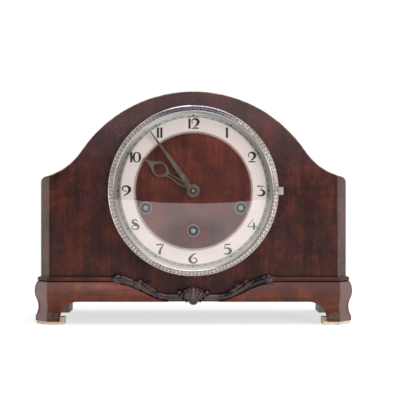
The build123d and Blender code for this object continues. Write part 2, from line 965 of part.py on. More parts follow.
beats_per_hour = (centre_teeth / third_pinion_teeth) * (third_teeth / escape_pinion_teeth) * escape_teeth
pendulum_length = gravity * (3600 / beats_per_hour / (2 * pi)) ** 2
barrel_reach = (great_teeth + intermediate_pinion_teeth) * great_module / 2
intermediate_reach = (intermediate_teeth + centre_pinion_teeth) * intermediate_module / 2
third_reach = (centre_teeth + third_pinion_teeth) * centre_module / 2
escape_reach = (third_teeth + escape_pinion_teeth) * third_module / 2
minute_reach = (cannon_teeth + minute_wheel_teeth) * motion_module / 2
hour_module = 2 * minute_reach / (minute_pinion_teeth + hour_wheel_teeth)

going_place = (0.0, going_winding_z)
intermediate_drop = (intermediate_reach**2 - barrel_reach**2 + going_winding_z**2) / (-2 * going_winding_z)
intermediate_place = (sqrt(intermediate_reach**2 - intermediate_drop**2), -intermediate_drop)
third_place = (third_reach * cos(radians(third_bearing)), third_reach * sin(radians(third_bearing)))
escape_place = (0.0, third_place[1] + sqrt(escape_reach**2 - third_place[0] ** 2))
minute_place = (minute_reach * cos(radians(minute_bearing)), minute_reach * sin(radians(minute_bearing)))
swing_z = escape_place[1] + anchor_distance
rail_place = (rail_x, rail_z)
pillar_places = [
    (x, z) for x in (-pillar_x, pillar_x) for z in (plate_bottom + pillar_edge, plate_top - pillar_edge)
]
cannon_back = front_plate_depth - motion_gap
minute_wheel_back = cannon_back - motion_step
minute_wheel_front = minute_wheel_back - wheel_thickness
hour_wheel_back = minute_wheel_front - hour_wheel_gap
minute_pinion_front = hour_wheel_back - wheel_thickness - motion_step

with BuildPart() as movement_front_plate:
    block(
        (-plate_half_width, plate_half_width),
        (front_plate_depth, gap_front),
        (dial_height + plate_bottom, dial_height + plate_top),
    )
    for place, radius in (
        ((0.0, 0.0), train_arbor_radius),
        (intermediate_place, pivot_radius),
        (third_place, pivot_radius),
        (escape_place, pivot_radius),
        ((0.0, swing_z), pivot_radius),
    ):
        disc(radius + running_fit, front_plate_depth, gap_front, *place, Mode.SUBTRACT)
    for place in winding_places:
        disc(arbor_radius + running_fit, front_plate_depth, gap_front, *place, Mode.SUBTRACT)
    for place in screw_places:
        disc(screw_radius + running_fit, front_plate_depth, gap_front, *place, Mode.SUBTRACT)
    disc(train_arbor_radius, minute_pinion_front, front_plate_depth, *minute_place)
save(movement_front_plate, "movement_front_plate")

with BuildPart() as movement_back_plate:
    block(
        (-plate_half_width, plate_half_width),
        (gap_back, plate_rear),
        (dial_height + plate_bottom, dial_height + plate_top),
    )
    for place, radius in (
        ((0.0, 0.0), pivot_radius),
        (intermediate_place, pivot_radius),
        (third_place, pivot_radius),
        (escape_place, pivot_radius),
        ((0.0, swing_z), train_arbor_radius),
    ):
        disc(radius + running_fit, gap_back, plate_rear, *place, Mode.SUBTRACT)
    for place in winding_places:
        disc(arbor_pivot_radius + running_fit, gap_back, plate_rear, *place, Mode.SUBTRACT)
save(movement_back_plate, "movement_back_plate")

with BuildPart() as plate_pillars:
    for place in pillar_places:
        disc(pillar_radius, gap_front, gap_back, *place)
save(plate_pillars, "plate_pillars")

with BuildPart() as movement_posts:
    for place in screw_places:
        disc(post_radius, front_thickness, front_plate_depth, *place)
        disc(screw_radius + running_fit, front_thickness, front_plate_depth, *place, Mode.SUBTRACT)
save(movement_posts, "movement_posts")

with BuildPart() as movement_screws:
    for x, z in screw_places:
        disc(screw_radius, front_thickness - screw_grip, gap_front, x, z)
        disc(screw_head_radius, gap_front, gap_front + screw_head_thickness, x, z)
        block(
            (x - screw_head_radius, x + screw_head_radius),
            (gap_front + screw_head_thickness / 2, gap_front + screw_head_thickness),
            (dial_height + z - screw_slot / 2, dial_height + z + screw_slot / 2),
            Mode.SUBTRACT,
        )
save(movement_screws, "movement_screws")

# Gears


def tooth_ring(teeth, module, addendum, dedendum, phase):
    """Adds a toothed outline to the sketch being drawn, with one tooth centred at the phase angle."""
    pitch_radius = teeth * module / 2
    half_tooth = tooth_share * pi / teeth
    lean = module * tan(radians(pressure_angle)) / pitch_radius
    tip = pitch_radius + addendum * module
    root = pitch_radius - dedendum * module
    flank = (
        (root, -half_tooth - dedendum * lean),
        (tip, -half_tooth + addendum * lean),
        (tip, half_tooth - addendum * lean),
        (root, half_tooth + dedendum * lean),
    )
    corners = []
    for number in range(teeth):
        middle = phase + 2 * pi * number / teeth
        corners += [(radius * cos(middle + turn), radius * sin(middle + turn)) for radius, turn in flank]
    Polygon(*corners)


def wheel_ring(teeth, module, phase):
    """Adds a wheel's toothed outline with five round windows in its web."""
    tooth_ring(teeth, module, wheel_addendum, wheel_dedendum, phase)
    pitch_radius = teeth * module / 2
    with PolarLocations(window_distance * pitch_radius, window_count):
        Circle(window_size * pitch_radius, mode=Mode.SUBTRACT)


def pinion_ring(teeth, module, phase):
    """Adds a pinion's toothed outline."""
    tooth_ring(teeth, module, pinion_addendum, pinion_dedendum, phase)


def bearing(start, end):
    """Direction from one place on the plates to another."""
    return atan2(end[1] - start[1], end[0] - start[0])


def mesh_phase(teeth, phase, partner_teeth, direction):
    """Phase that sets a partner's gap against a tooth of the first wheel."""
    return direction + pi + (direction - phase) * teeth / partner_teeth + pi / partner_teeth


def train_arbor(place):
    """Adds an arbor between the plates with a pivot through each plate."""
    disc(train_arbor_radius, gap_front + axial_gap, gap_back - axial_gap, *place)
    disc(pivot_radius, front_plate_depth, plate_rear, *place)


centre = (0.0, 0.0)
minute_phase = mesh_phase(cannon_teeth, 0, minute_wheel_teeth, bearing(centre, minute_place))
hour_phase = mesh_phase(minute_pinion_teeth, 0, hour_wheel_teeth, bearing(minute_place, centre))
intermediate_phase = mesh_phase(
    centre_pinion_teeth, 0, intermediate_teeth, bearing(centre, intermediate_place)
)
great_phase = mesh_phase(
    intermediate_pinion_teeth, 0, great_teeth, bearing(intermediate_place, going_place)
)
third_phase = mesh_phase(centre_teeth, 0, third_pinion_teeth, bearing(centre, third_place))
escape_phase = mesh_phase(third_teeth, 0, escape_pinion_teeth, bearing(third_place, escape_place))

# Centre arbor with its wheel and pinion, and the motion work in front of the plates

hand_stack_end = minute_hand_base + minute_hand_thickness + nut_height

with BuildPart() as centre_wheel:
    with BuildSketch(dial_plane(gap_front + centre_wheel_gap + thin_wheel_thickness)):
        wheel_ring(centre_teeth, centre_module, 0)
    extrude(amount=thin_wheel_thickness)
    with BuildSketch(dial_plane(gap_front + intermediate_gap + wheel_thickness + pinion_overlap)):
        pinion_ring(centre_pinion_teeth, intermediate_module, 0)
    extrude(amount=wheel_thickness + 2 * pinion_overlap)
    disc(train_arbor_radius, -hand_stack_end, gap_back - axial_gap)
    disc(pivot_radius, gap_back - axial_gap, plate_rear)
save(centre_wheel, "centre_wheel")

with BuildPart() as cannon_pinion:
    with BuildSketch(dial_plane(cannon_back)):
        pinion_ring(cannon_teeth, motion_module, 0)
    extrude(amount=wheel_thickness + 2 * pinion_overlap)
    disc(cannon_radius, -minute_hand_base - minute_hand_thickness, front_plate_depth - axial_gap)
    disc(
        train_arbor_radius + slip_fit,
        -minute_hand_base - minute_hand_thickness,
        front_plate_depth,
        mode=Mode.SUBTRACT,
    )
save(cannon_pinion, "cannon_pinion")

with BuildPart() as minute_wheel:
    with BuildSketch(dial_plane(minute_wheel_back, *minute_place)):
        wheel_ring(minute_wheel_teeth, motion_module, minute_phase)
    extrude(amount=wheel_thickness)
    with BuildSketch(dial_plane(minute_wheel_front, *minute_place)):
        pinion_ring(minute_pinion_teeth, hour_module, 0)
    extrude(amount=minute_wheel_front - minute_pinion_front)
    disc(
        train_arbor_radius + running_fit,
        minute_pinion_front,
        minute_wheel_back,
        *minute_place,
        Mode.SUBTRACT,
    )
save(minute_wheel, "minute_wheel")

with BuildPart() as hour_wheel:
    with BuildSketch(dial_plane(hour_wheel_back)):
        wheel_ring(hour_wheel_teeth, hour_module, hour_phase)
    extrude(amount=wheel_thickness)
    disc(hour_pipe_radius, -hour_hand_base - hour_hand_thickness, hour_wheel_back)
    disc(
        cannon_radius + running_fit,
        -hour_hand_base - hour_hand_thickness,
        hour_wheel_back,
        mode=Mode.SUBTRACT,
    )
save(hour_wheel, "hour_wheel")

# Hands

with BuildPart() as hour_hand:
    with BuildSketch(dial_plane(-hour_hand_base, turn=radians(hour_hand_angle))):
        with BuildLine():
            tip_points = [hour_stem_points[-1], *hour_tip_points]
            for side in (-1, 1):
                Spline(*[(side * half, along) for along, half in hour_stem_points])
                Polyline(*[(side * half, along) for along, half in tip_points])
            for along, half in (hour_stem_points[0], hour_tip_points[-1]):
                Line((-half, along), (half, along))
        make_face()
        with BuildLine():
            for side in (-1, 1):
                Spline(*[(side * half, along) for along, half in hour_loop_points])
        make_face(mode=Mode.SUBTRACT)
        with Locations((0, sum(hour_slot) / 2)):
            SlotOverall(hour_slot[1] - hour_slot[0], hour_slot_width, rotation=90, mode=Mode.SUBTRACT)
        with Locations((0, hour_bead_distance)):
            Circle(hour_bead_radius)
        Circle(hour_boss_radius)
        Circle(hour_pipe_radius + slip_fit, mode=Mode.SUBTRACT)
    extrude(amount=hour_hand_thickness)
save(hour_hand, "hour_hand")

with BuildPart() as minute_hand:
    with BuildSketch(dial_plane(-minute_hand_base, turn=radians(minute_hand_angle))):
        neck = [(0.0, minute_hand_points[0][1]), *minute_hand_points]
        Polygon(
            *[(half, along) for along, half in neck],
            *[(-half, along) for along, half in reversed(neck)],
        )
        Circle(minute_boss_radius)
        Circle(cannon_radius + slip_fit, mode=Mode.SUBTRACT)
    extrude(amount=minute_hand_thickness)
    chamfer(minute_hand.faces().sort_by(Axis.Y)[0].outer_wire().edges(), hand_edge)
save(minute_hand, "minute_hand")

with BuildPart() as hand_nut:
    disc(nut_radius, -hand_stack_end, -minute_hand_base - minute_hand_thickness)
    chamfer(hand_nut.faces().sort_by(Axis.Y)[0].edges(), nut_height / 3)
    disc(train_arbor_radius + slip_fit, -hand_stack_end, 0, mode=Mode.SUBTRACT)
save(hand_nut, "hand_nut")

# Going train between the plates

with BuildPart() as intermediate_wheel:
    with BuildSketch(dial_plane(gap_front + intermediate_gap + wheel_thickness, *intermediate_place)):
        wheel_ring(intermediate_teeth, intermediate_module, intermediate_phase)
    extrude(amount=wheel_thickness)
    pinion_back = gap_front + great_wheel_gap + great_wheel_thickness + pinion_overlap
    with BuildSketch(dial_plane(pinion_back, *intermediate_place)):
        pinion_ring(intermediate_pinion_teeth, great_module, 0)
    extrude(amount=great_wheel_thickness + 2 * pinion_overlap)
    train_arbor(intermediate_place)
save(intermediate_wheel, "intermediate_wheel")

with BuildPart() as third_wheel:
    with BuildSketch(dial_plane(gap_front + third_wheel_gap + thin_wheel_thickness, *third_place)):
        wheel_ring(third_teeth, third_module, 0)
    extrude(amount=thin_wheel_thickness)
    third_pinion_back = gap_front + centre_wheel_gap + thin_wheel_thickness + pinion_overlap
    with BuildSketch(dial_plane(third_pinion_back, *third_place)):
        pinion_ring(third_pinion_teeth, centre_module, third_phase)
    extrude(amount=thin_wheel_thickness + 2 * pinion_overlap)
    train_arbor(third_place)
save(third_wheel, "third_wheel")

with BuildPart() as escape_wheel:
    with BuildSketch(dial_plane(gap_front + escape_wheel_gap + thin_wheel_thickness, *escape_place)):
        escape_root = escape_radius - escape_tooth_depth
        escape_pitch = 2 * pi / escape_teeth
        tooth_corners = []
        for number in range(escape_teeth):
            for radius, share in ((escape_root, 0), (escape_radius, 0), (escape_root, escape_tooth_back)):
                turn = (number + share) * escape_pitch
                tooth_corners.append((radius * cos(turn), radius * sin(turn)))
        Polygon(*tooth_corners)
        with PolarLocations(window_distance * escape_radius, window_count):
            Circle(window_size * escape_radius, mode=Mode.SUBTRACT)
    extrude(amount=thin_wheel_thickness)
    escape_pinion_back = gap_front + third_wheel_gap + thin_wheel_thickness + pinion_overlap
    with BuildSketch(dial_plane(escape_pinion_back, *escape_place)):
        pinion_ring(escape_pinion_teeth, third_module, escape_phase)
    extrude(amount=thin_wheel_thickness + 2 * pinion_overlap)
    train_arbor(escape_place)
save(escape_wheel, "escape_wheel")

# Barrels, solid where the mainspring sits, and their winding arbors


def winding_arbor(place):
    """Adds a winding arbor with its key square and rear pivot."""
    disc(arbor_radius, key_square_start, gap_back - axial_gap, *place)
    disc(arbor_pivot_radius, gap_back - axial_gap, plate_rear, *place)
    block(
        (place[0] - key_square / 2, place[0] + key_square / 2),
        (-key_end_height, key_square_start),
        (dial_height + place[1] - key_square / 2, dial_height + place[1] + key_square / 2),
    )


strike_place = winding_places[0]
chime_place = winding_places[-1]
drum_end = gap_front + side_drum_gap + barrel_length

with BuildPart() as going_barrel:
    with BuildSketch(dial_plane(gap_front + great_wheel_gap + great_wheel_thickness, *going_place)):
        tooth_ring(great_teeth, great_module, wheel_addendum, wheel_dedendum, great_phase)
    extrude(amount=great_wheel_thickness)
    drum_start = gap_front + great_wheel_gap + great_wheel_thickness
    disc(barrel_radius, drum_start, drum_start + barrel_length, *going_place)
    disc(arbor_radius + running_fit, gap_front, gap_back, *going_place, Mode.SUBTRACT)
save(going_barrel, "going_barrel")

with BuildPart() as strike_barrel:
    with BuildSketch(dial_plane(drum_end + great_wheel_thickness, *strike_place)):
        tooth_ring(great_teeth, great_module, wheel_addendum, wheel_dedendum, 0)
    extrude(amount=great_wheel_thickness)
    disc(barrel_radius, gap_front + side_drum_gap, drum_end, *strike_place)
    disc(arbor_radius + running_fit, gap_front, gap_back, *strike_place, Mode.SUBTRACT)
save(strike_barrel, "strike_barrel")

with BuildPart() as chime_barrel:
    with BuildSketch(dial_plane(drum_end + great_wheel_thickness, *chime_place)):
        tooth_ring(great_teeth, great_module, wheel_addendum, wheel_dedendum, 0)
    extrude(amount=great_wheel_thickness)
    disc(barrel_radius, gap_front + side_drum_gap, drum_end, *chime_place)
    disc(arbor_radius + running_fit, gap_front, gap_back, *chime_place, Mode.SUBTRACT)
save(chime_barrel, "chime_barrel")

with BuildPart() as going_winding_arbor:
    winding_arbor(going_place)
save(going_winding_arbor, "going_winding_arbor")

with BuildPart() as strike_winding_arbor:
    winding_arbor(strike_place)
save(strike_winding_arbor, "strike_winding_arbor")

with BuildPart() as chime_winding_arbor:
    winding_arbor(chime_place)
save(chime_winding_arbor, "chime_winding_arbor")

# Anchor and crutch, pendulum on its suspension

pendulum_depth = plate_rear + pendulum_depth_behind_plate
swing_height = dial_height + swing_z
crutch_front = plate_rear + crutch_gap
crutch_back = crutch_front + crutch_thickness
eye_front = pendulum_depth - suspension_width / 2
eye_back = pendulum_depth + suspension_width / 2


def from_escape(radius, turn):
    """Point at a radius and angle from the escape wheel's centre, seen from the anchor's pivot."""
    return (radius * sin(turn), radius * cos(turn) - anchor_distance)


with BuildPart() as pallet_anchor:
    anchor_back = gap_front + escape_wheel_gap + (thin_wheel_thickness + anchor_thickness) / 2
    nib_radius = escape_radius + anchor_clearance
    span = radians(anchor_span)
    nib = radians(anchor_nib)
    half_outline = [
        from_escape(nib_radius + 2 * anchor_arm, span - nib),
        from_escape(nib_radius, span - nib),
        from_escape(nib_radius, span),
        from_escape(nib_radius + 3 * anchor_arm, span + nib),
    ]
    with BuildSketch(dial_plane(anchor_back, 0, swing_z)):
        Polygon(
            (0, -anchor_arm),
            *half_outline,
            (0, anchor_arm),
            *[(-x, z) for x, z in reversed(half_outline)],
        )
        Circle(2 * train_arbor_radius)
    extrude(amount=anchor_thickness)
    disc(pivot_radius, front_plate_depth, gap_front + axial_gap, 0, swing_z)
    disc(train_arbor_radius, gap_front + axial_gap, crutch_back, 0, swing_z)
    disc(crutch_width, crutch_front, crutch_back, 0, swing_z)
    crutch_foot = swing_height - crutch_length
    loop_radius = rod_radius + crutch_play + crutch_loop_wall
    block(
        (-crutch_width / 2, crutch_width / 2),
        (crutch_front, crutch_back),
        (crutch_foot - crutch_thickness / 2, swing_height),
    )
    block(
        (-crutch_width / 2, crutch_width / 2),
        (crutch_front, pendulum_depth - rod_radius - crutch_play),
        (crutch_foot - crutch_thickness / 2, crutch_foot + crutch_thickness / 2),
    )
    for radius, mode in ((loop_radius, Mode.ADD), (rod_radius + crutch_play, Mode.SUBTRACT)):
        upright(
            radius,
            0,
            pendulum_depth,
            crutch_foot - crutch_thickness / 2,
            crutch_foot + crutch_thickness / 2,
            mode,
        )
save(pallet_anchor, "pallet_anchor")

with BuildPart() as suspension_cock:
    cheek_front = eye_front - axial_gap - suspension_cheek
    cheek_back = eye_back + axial_gap + suspension_cheek
    block(
        (-cock_half_width, cock_half_width),
        (plate_rear, cheek_back),
        (swing_height + cock_lift, swing_height + cock_lift + cock_height),
    )
    block(
        (-cheek_half_width, cheek_half_width),
        (cheek_front, cheek_back),
        (swing_height - cheek_half_width, swing_height + cock_lift),
    )
    block(
        (-cheek_half_width, cheek_half_width),
        (eye_front - axial_gap, eye_back + axial_gap),
        (swing_height - cheek_half_width, swing_height + cock_lift),
        Mode.SUBTRACT,
    )
    disc(suspension_pin_radius, cheek_front, cheek_back, 0, swing_z)
save(suspension_cock, "suspension_cock")

chop_top = swing_height - eye_radius - suspension_length
rod_top = chop_top - chop_height
bob_height = swing_height - pendulum_length
nut_top = bob_height - bob_radius

with BuildPart() as pendulum_rod:
    disc(eye_radius, eye_front, eye_back, 0, swing_z)
    block(
        (-suspension_strip / 2, suspension_strip / 2),
        (eye_front, eye_back),
        (chop_top, swing_height - suspension_pin_radius - running_fit),
    )
    disc(suspension_pin_radius + running_fit, eye_front, eye_back, 0, swing_z, Mode.SUBTRACT)
    block((-chop_half_width, chop_half_width), (eye_front, eye_back), (rod_top, chop_top))
    upright(rod_radius, 0, pendulum_depth, nut_top - rating_nut_height - rod_tail, rod_top)
save(pendulum_rod, "pendulum_rod")

with BuildPart() as pendulum_bob:
    with Locations(Plane(origin=(0, case_front + pendulum_depth, bob_height), z_dir=(0, -1, 0))):
        Cylinder(bob_radius, bob_thickness)
    fillet(pendulum_bob.edges().filter_by(GeomType.CIRCLE), bob_round)
    upright(
        rod_radius + slip_fit,
        0,
        pendulum_depth,
        bob_height - bob_radius,
        bob_height + bob_radius,
        Mode.SUBTRACT,
    )
save(pendulum_bob, "pendulum_bob")

with BuildPart() as rating_nut:
    upright(rating_nut_radius, 0, pendulum_depth, nut_top - rating_nut_height, nut_top)
    chamfer(rating_nut.edges().filter_by(GeomType.CIRCLE), rating_nut_height / 8)
    upright(
        rod_radius + slip_fit, 0, pendulum_depth, nut_top - rating_nut_height, nut_top, Mode.SUBTRACT
    )
save(rating_nut, "rating_nut")

# Chime: hammers on a rail, gong rods in a block on the bottom board

chime_front = pendulum_depth + bob_thickness / 2 + chime_bob_clearance
chime_back = case_depth - back_thickness - chime_door_clearance
hammer_pitch = (chime_back - chime_front) / (hammer_count - 1)
hammer_depths = [chime_front + hammer_pitch * n for n in range(hammer_count)]
hammer_hub_length = hammer_hub_share * hammer_pitch
hammer_arm_thickness = hammer_arm_share * hammer_pitch
gong_rod_radius = gong_rod_share * hammer_pitch
gong_block_left = gong_block_inset - top_half_width
gong_block_right = gong_block_left + gong_block_width
gong_longest = top_half_width - gong_end_clearance - gong_block_right
hammer_head_x = gong_block_right + hammer_head_offset
gong_height = bottom_top + gong_rod_lift
head_bottom = gong_height + gong_rod_radius + hammer_gap
collar_front = hammer_depths[-1] + hammer_hub_length / 2 + axial_gap

with BuildPart() as hammer_rail:
    disc(rail_foot_radius, plate_rear, plate_rear + rail_foot_thickness, *rail_place)
    disc(rail_radius, plate_rear, collar_front, *rail_place)
    disc(hammer_hub_radius, collar_front, collar_front + rail_foot_thickness, *rail_place)
save(hammer_rail, "hammer_rail")

for number, depth in enumerate(hammer_depths, start=1):
    with BuildPart() as hammer:
        disc(hammer_hub_radius, depth - hammer_hub_length / 2, depth + hammer_hub_length / 2, *rail_place)
        head_offset = (
            hammer_head_x - rail_x,
            head_bottom + hammer_head_height / 2 - dial_height - rail_z,
        )
        arm_length = sqrt(head_offset[0] ** 2 + head_offset[1] ** 2)
        arm_turn = atan2(head_offset[1], head_offset[0])
        with BuildSketch(dial_plane(depth + hammer_arm_thickness / 2, *rail_place, arm_turn)):
            with Locations((arm_length / 2, 0)):
                Rectangle(arm_length, hammer_arm_width)
        extrude(amount=hammer_arm_thickness)
        upright(
            hammer_head_share * hammer_pitch,
            hammer_head_x,
            depth,
            head_bottom,
            head_bottom + hammer_head_height,
        )
        disc(
            rail_radius + running_fit,
            depth - hammer_hub_length / 2,
            depth + hammer_hub_length / 2,
            *rail_place,
            Mode.SUBTRACT,
        )
    save(hammer, f"hammer_{number}")

with BuildPart() as gong_block:
    block(
        (gong_block_left, gong_block_right),
        (hammer_depths[0] - gong_block_margin, hammer_depths[-1] + gong_block_margin),
        (bottom_top, bottom_top + gong_block_height),
    )
    chamfer(gong_block.faces().sort_by(Axis.Z)[-1].edges(), gong_block_margin / 4)
save(gong_block, "gong_block")

with BuildPart() as gong_rods:
    for number, depth in enumerate(hammer_depths):
        with Locations(Plane(origin=(gong_block_right, case_front + depth, gong_height), z_dir=(1, 0, 0))):
            Cone(
                gong_root_share * hammer_pitch,
                gong_rod_radius,
                gong_root_length,
                align=(Align.CENTER, Align.CENTER, Align.MIN),
            )
            with Locations((0, 0, gong_root_length)):
                Cylinder(
                    gong_rod_radius,
                    gong_longest - gong_step * number - gong_root_length,
                    align=(Align.CENTER, Align.CENTER, Align.MIN),
                )
save(gong_rods, "gong_rods")
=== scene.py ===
"""Looks of a tambour mantel clock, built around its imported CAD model."""

import logging
import math
from collections.abc import Callable, Sequence
from dataclasses import dataclass
from enum import Enum
from functools import reduce

import bmesh
import bpy
from mathutils import Matrix, Vector


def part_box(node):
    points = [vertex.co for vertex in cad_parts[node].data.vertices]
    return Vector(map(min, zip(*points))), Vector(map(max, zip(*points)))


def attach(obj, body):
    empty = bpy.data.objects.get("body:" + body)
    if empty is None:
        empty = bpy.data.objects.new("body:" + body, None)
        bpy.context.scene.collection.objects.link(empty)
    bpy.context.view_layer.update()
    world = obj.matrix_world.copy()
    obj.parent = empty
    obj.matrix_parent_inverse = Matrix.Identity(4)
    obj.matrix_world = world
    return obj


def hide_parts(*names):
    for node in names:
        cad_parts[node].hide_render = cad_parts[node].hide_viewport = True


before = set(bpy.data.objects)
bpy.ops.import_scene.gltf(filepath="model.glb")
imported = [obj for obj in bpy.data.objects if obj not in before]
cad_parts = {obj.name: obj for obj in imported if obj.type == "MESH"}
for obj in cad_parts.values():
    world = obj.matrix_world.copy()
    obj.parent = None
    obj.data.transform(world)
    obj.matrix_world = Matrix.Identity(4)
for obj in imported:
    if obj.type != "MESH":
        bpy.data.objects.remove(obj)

Point2 = tuple[float, float]
Triple = tuple[float, float, float]
Four = tuple[float, float, float, float]
Colour = tuple[float, float, float]
BMesh = bmesh.types.BMesh
Material = bpy.types.Material

LOG = logging.getLogger("mantel_clock")
MM = 0.001
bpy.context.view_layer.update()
DIAL_HEIGHT = sum(corner.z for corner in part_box("chapter_ring")) / 2
CASE_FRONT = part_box("front_panel")[0].y
HOLE_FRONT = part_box("winding_grommets")[0].y
NOISE_SPAN = (0.3, 0.7)
WHITE: Colour = (255, 255, 255)
BLACK: Colour = (0, 0, 0)


def linear(red: float, green: float, blue: float) -> Colour:
    """Gives the linear colour of a shade that is written in display values, 0 to 255."""
    values = (red / 255, green / 255, blue / 255)
    return tuple(v / 12.92 if v <= 0.04 else ((v + 0.055) / 1.055) ** 2.4 for v in values)


def add_object(name: str, data: bpy.types.ID) -> bpy.types.Object:
    """Adds an object to the scene.

    Args:
        name: the object's name.
        data: its mesh, curve, lamp or camera.

    Returns:
        The object.
    """
    obj = bpy.data.objects.new(name, data)
    bpy.context.scene.collection.objects.link(obj)
    return obj


class Grain(Enum):
    """The way the fibres of a board run, with the stretch of its pattern."""

    UPRIGHT = (1.0, 1.0, 0.07)
    ACROSS = (0.07, 1.0, 1.0)


class Tree:
    """A node tree, with short ways to add and join its nodes."""

    def __init__(self, tree: bpy.types.NodeTree, coordinates: str) -> None:
        """Empties the tree and gives it coordinates.

        Args:
            tree: the tree of a material or a world.
            coordinates: the kind of coordinates that its patterns follow.
        """
        self.tree = tree
        tree.nodes.clear()
        self.place = self.node("TexCoord").outputs[coordinates]

    def node(self, kind: str, *inputs: object, **settings: str) -> bpy.types.Node:
        """Adds a shader node.

        Args:
            kind: its type.
            inputs: what feeds its inputs in their order.
            settings: its other properties.

        Returns:
            The node.
        """
        node = self.tree.nodes.new(f"ShaderNode{kind}")
        for name, value in settings.items():
            setattr(node, name, value)
        for socket, value in zip(node.inputs, inputs):
            self.feed(socket, value)
        return node

    def feed(self, socket: bpy.types.NodeSocket, value: object) -> None:
        """Links a socket into an input, or sets the input to a plain value.

        Args:
            socket: the input.
            value: a socket, a number, a colour in display values, or None for no change.
        """
        if isinstance(value, bpy.types.NodeSocket):
            self.tree.links.new(value, socket)
        elif isinstance(value, tuple) and socket.type == "RGBA":
            socket.default_value = (*linear(*value), 1.0)
        elif value is not None:
            socket.default_value = value

    def math(self, operation: str, *values: object) -> object:
        """Works out sockets and numbers by one operation."""
        return self.node("Math", *values, operation=operation).outputs[0]

    def times(self, *values: object) -> object:
        """Multiplies sockets and numbers."""
        return reduce(lambda first, other: self.math("MULTIPLY", first, other), values)

    def ramp(self, factor: object, *stops: tuple[float, Colour | float]) -> object:
        """Adds a colour ramp.

        Args:
            factor: the socket that runs along the ramp.
            stops: places with colours in display values or linear greys.

        Returns:
            The socket of the colour.
        """
        node = self.node("ValToRGB", factor)
        elements = node.color_ramp.elements
        while len(elements) < len(stops):
            elements.new(0.5)
        for element, (place, colour) in zip(elements, stops):
            element.position = place
            grey = (colour,) * 3
            element.color = (*(linear(*colour) if isinstance(colour, tuple) else grey), 1.0)
        return node.outputs[0]

    def spread(self, pattern: object, low: float, high: float) -> object:
        """Gives grey values from low to high where a noise pattern varies most."""
        return self.ramp(pattern, *zip(NOISE_SPAN, (low, high)))

    def between(self, value: object, low: float, high: float, first: float = 0.0,
                last: float = 1.0) -> object:
        """Maps a value from low and high onto first and last, held at both ends."""
        return self.node("MapRange", value, low, high, first, last).outputs[0]

    def axis(self, name: str) -> object:
        """Gives one coordinate, X, Y or Z."""
        return self.node("SeparateXYZ", self.place).outputs[name]

    def along(self, name: str, *limits: float) -> object:
        """Maps one coordinate onto a range, as between does."""
        return self.between(self.axis(name), *limits)

    def blend(self, factor: object, first: object, second: object) -> object:
        """Mixes two shaders by the share of the second."""
        return self.node("MixShader", factor, first, second).outputs[0]


class Graph(Tree):
    """A material's tree on object coordinates in metres, with a Principled shader."""

    def __init__(self, name: str) -> None:
        """Starts the material's tree with a shader and an output.

        Args:
            name: the material's name.
        """
        self.material = bpy.data.materials.new(name)
        self.material.use_nodes = True
        super().__init__(self.material.node_tree, "Object")
        self.shader = self.node("BsdfPrincipled")
        self.output = self.node("OutputMaterial", self.shader.outputs[0])

    def set(self, **values: object) -> None:
        """Sets or links the shader's sockets, named with underscores."""
        for name, value in values.items():
            title = name.replace("_", " ").title().replace("Ior", "IOR")
            self.feed(self.shader.inputs[title], value)

    def cover(self, factor: object, shader: object) -> None:
        """Lays another shader over the Principled one, by the share that factor gives."""
        mixed = self.blend(factor, self.shader.outputs[0], shader)
        self.feed(self.output.inputs["Surface"], mixed)

    def mapped(self, scale: Sequence[float]) -> object:
        """Gives the coordinates scaled along x, y and z."""
        return self.node("Mapping", self.place, None, None, scale).outputs[0]

    def noise(self, scale: float, detail: float = 3.0, rough: float = 0.55, at: object = None,
              warp: float = 0.0) -> object:
        """Adds a noise pattern, at the object's own coordinates if no others are given."""
        inputs = (at or self.place, None, scale, detail, rough, None, None, None, warp)
        return self.node("TexNoise", *inputs).outputs["Fac"]

    def mix(self, factor: object, first: object, second: object, blend: str = "MIX") -> object:
        """Mixes two colours, or lays the second on the first as blend says."""
        inputs = (factor, *[None] * 5, first, second)
        return self.node("Mix", *inputs, data_type="RGBA", blend_type=blend).outputs[2]

    def bump(self, height: object, strength: float, depth: float) -> None:
        """Raises the surface's shading by a height pattern, with its depth in metres."""
        node = self.node("Bump", strength, depth, None, height)
        self.feed(self.shader.inputs["Normal"], node.outputs[0])

    def attribute(self, name: str) -> object:
        """Reads a number that the mesh carries at its points."""
        return self.node("Attribute", attribute_name=name).outputs["Fac"]

    def aside(self, *limits: float) -> object:
        """Maps the distance from the clock's middle plane onto a range, as between does."""
        return self.between(self.math("ABSOLUTE", self.axis("X")), *limits)

    def length(self, first: object, second: object) -> object:
        """Gives the long side of a right triangle from its two others."""
        squares = self.math("ADD", self.times(first, first), self.times(second, second))
        return self.math("SQRT", squares)

    def distance(self, across: float, up: float, both: bool = False) -> object:
        """Measures how far a place is from an axis front to back, or from one on both sides."""
        side = self.math("ABSOLUTE", self.axis("X")) if both else self.axis("X")
        return self.length(self.math("SUBTRACT", side, across),
                           self.math("SUBTRACT", self.axis("Z"), up))


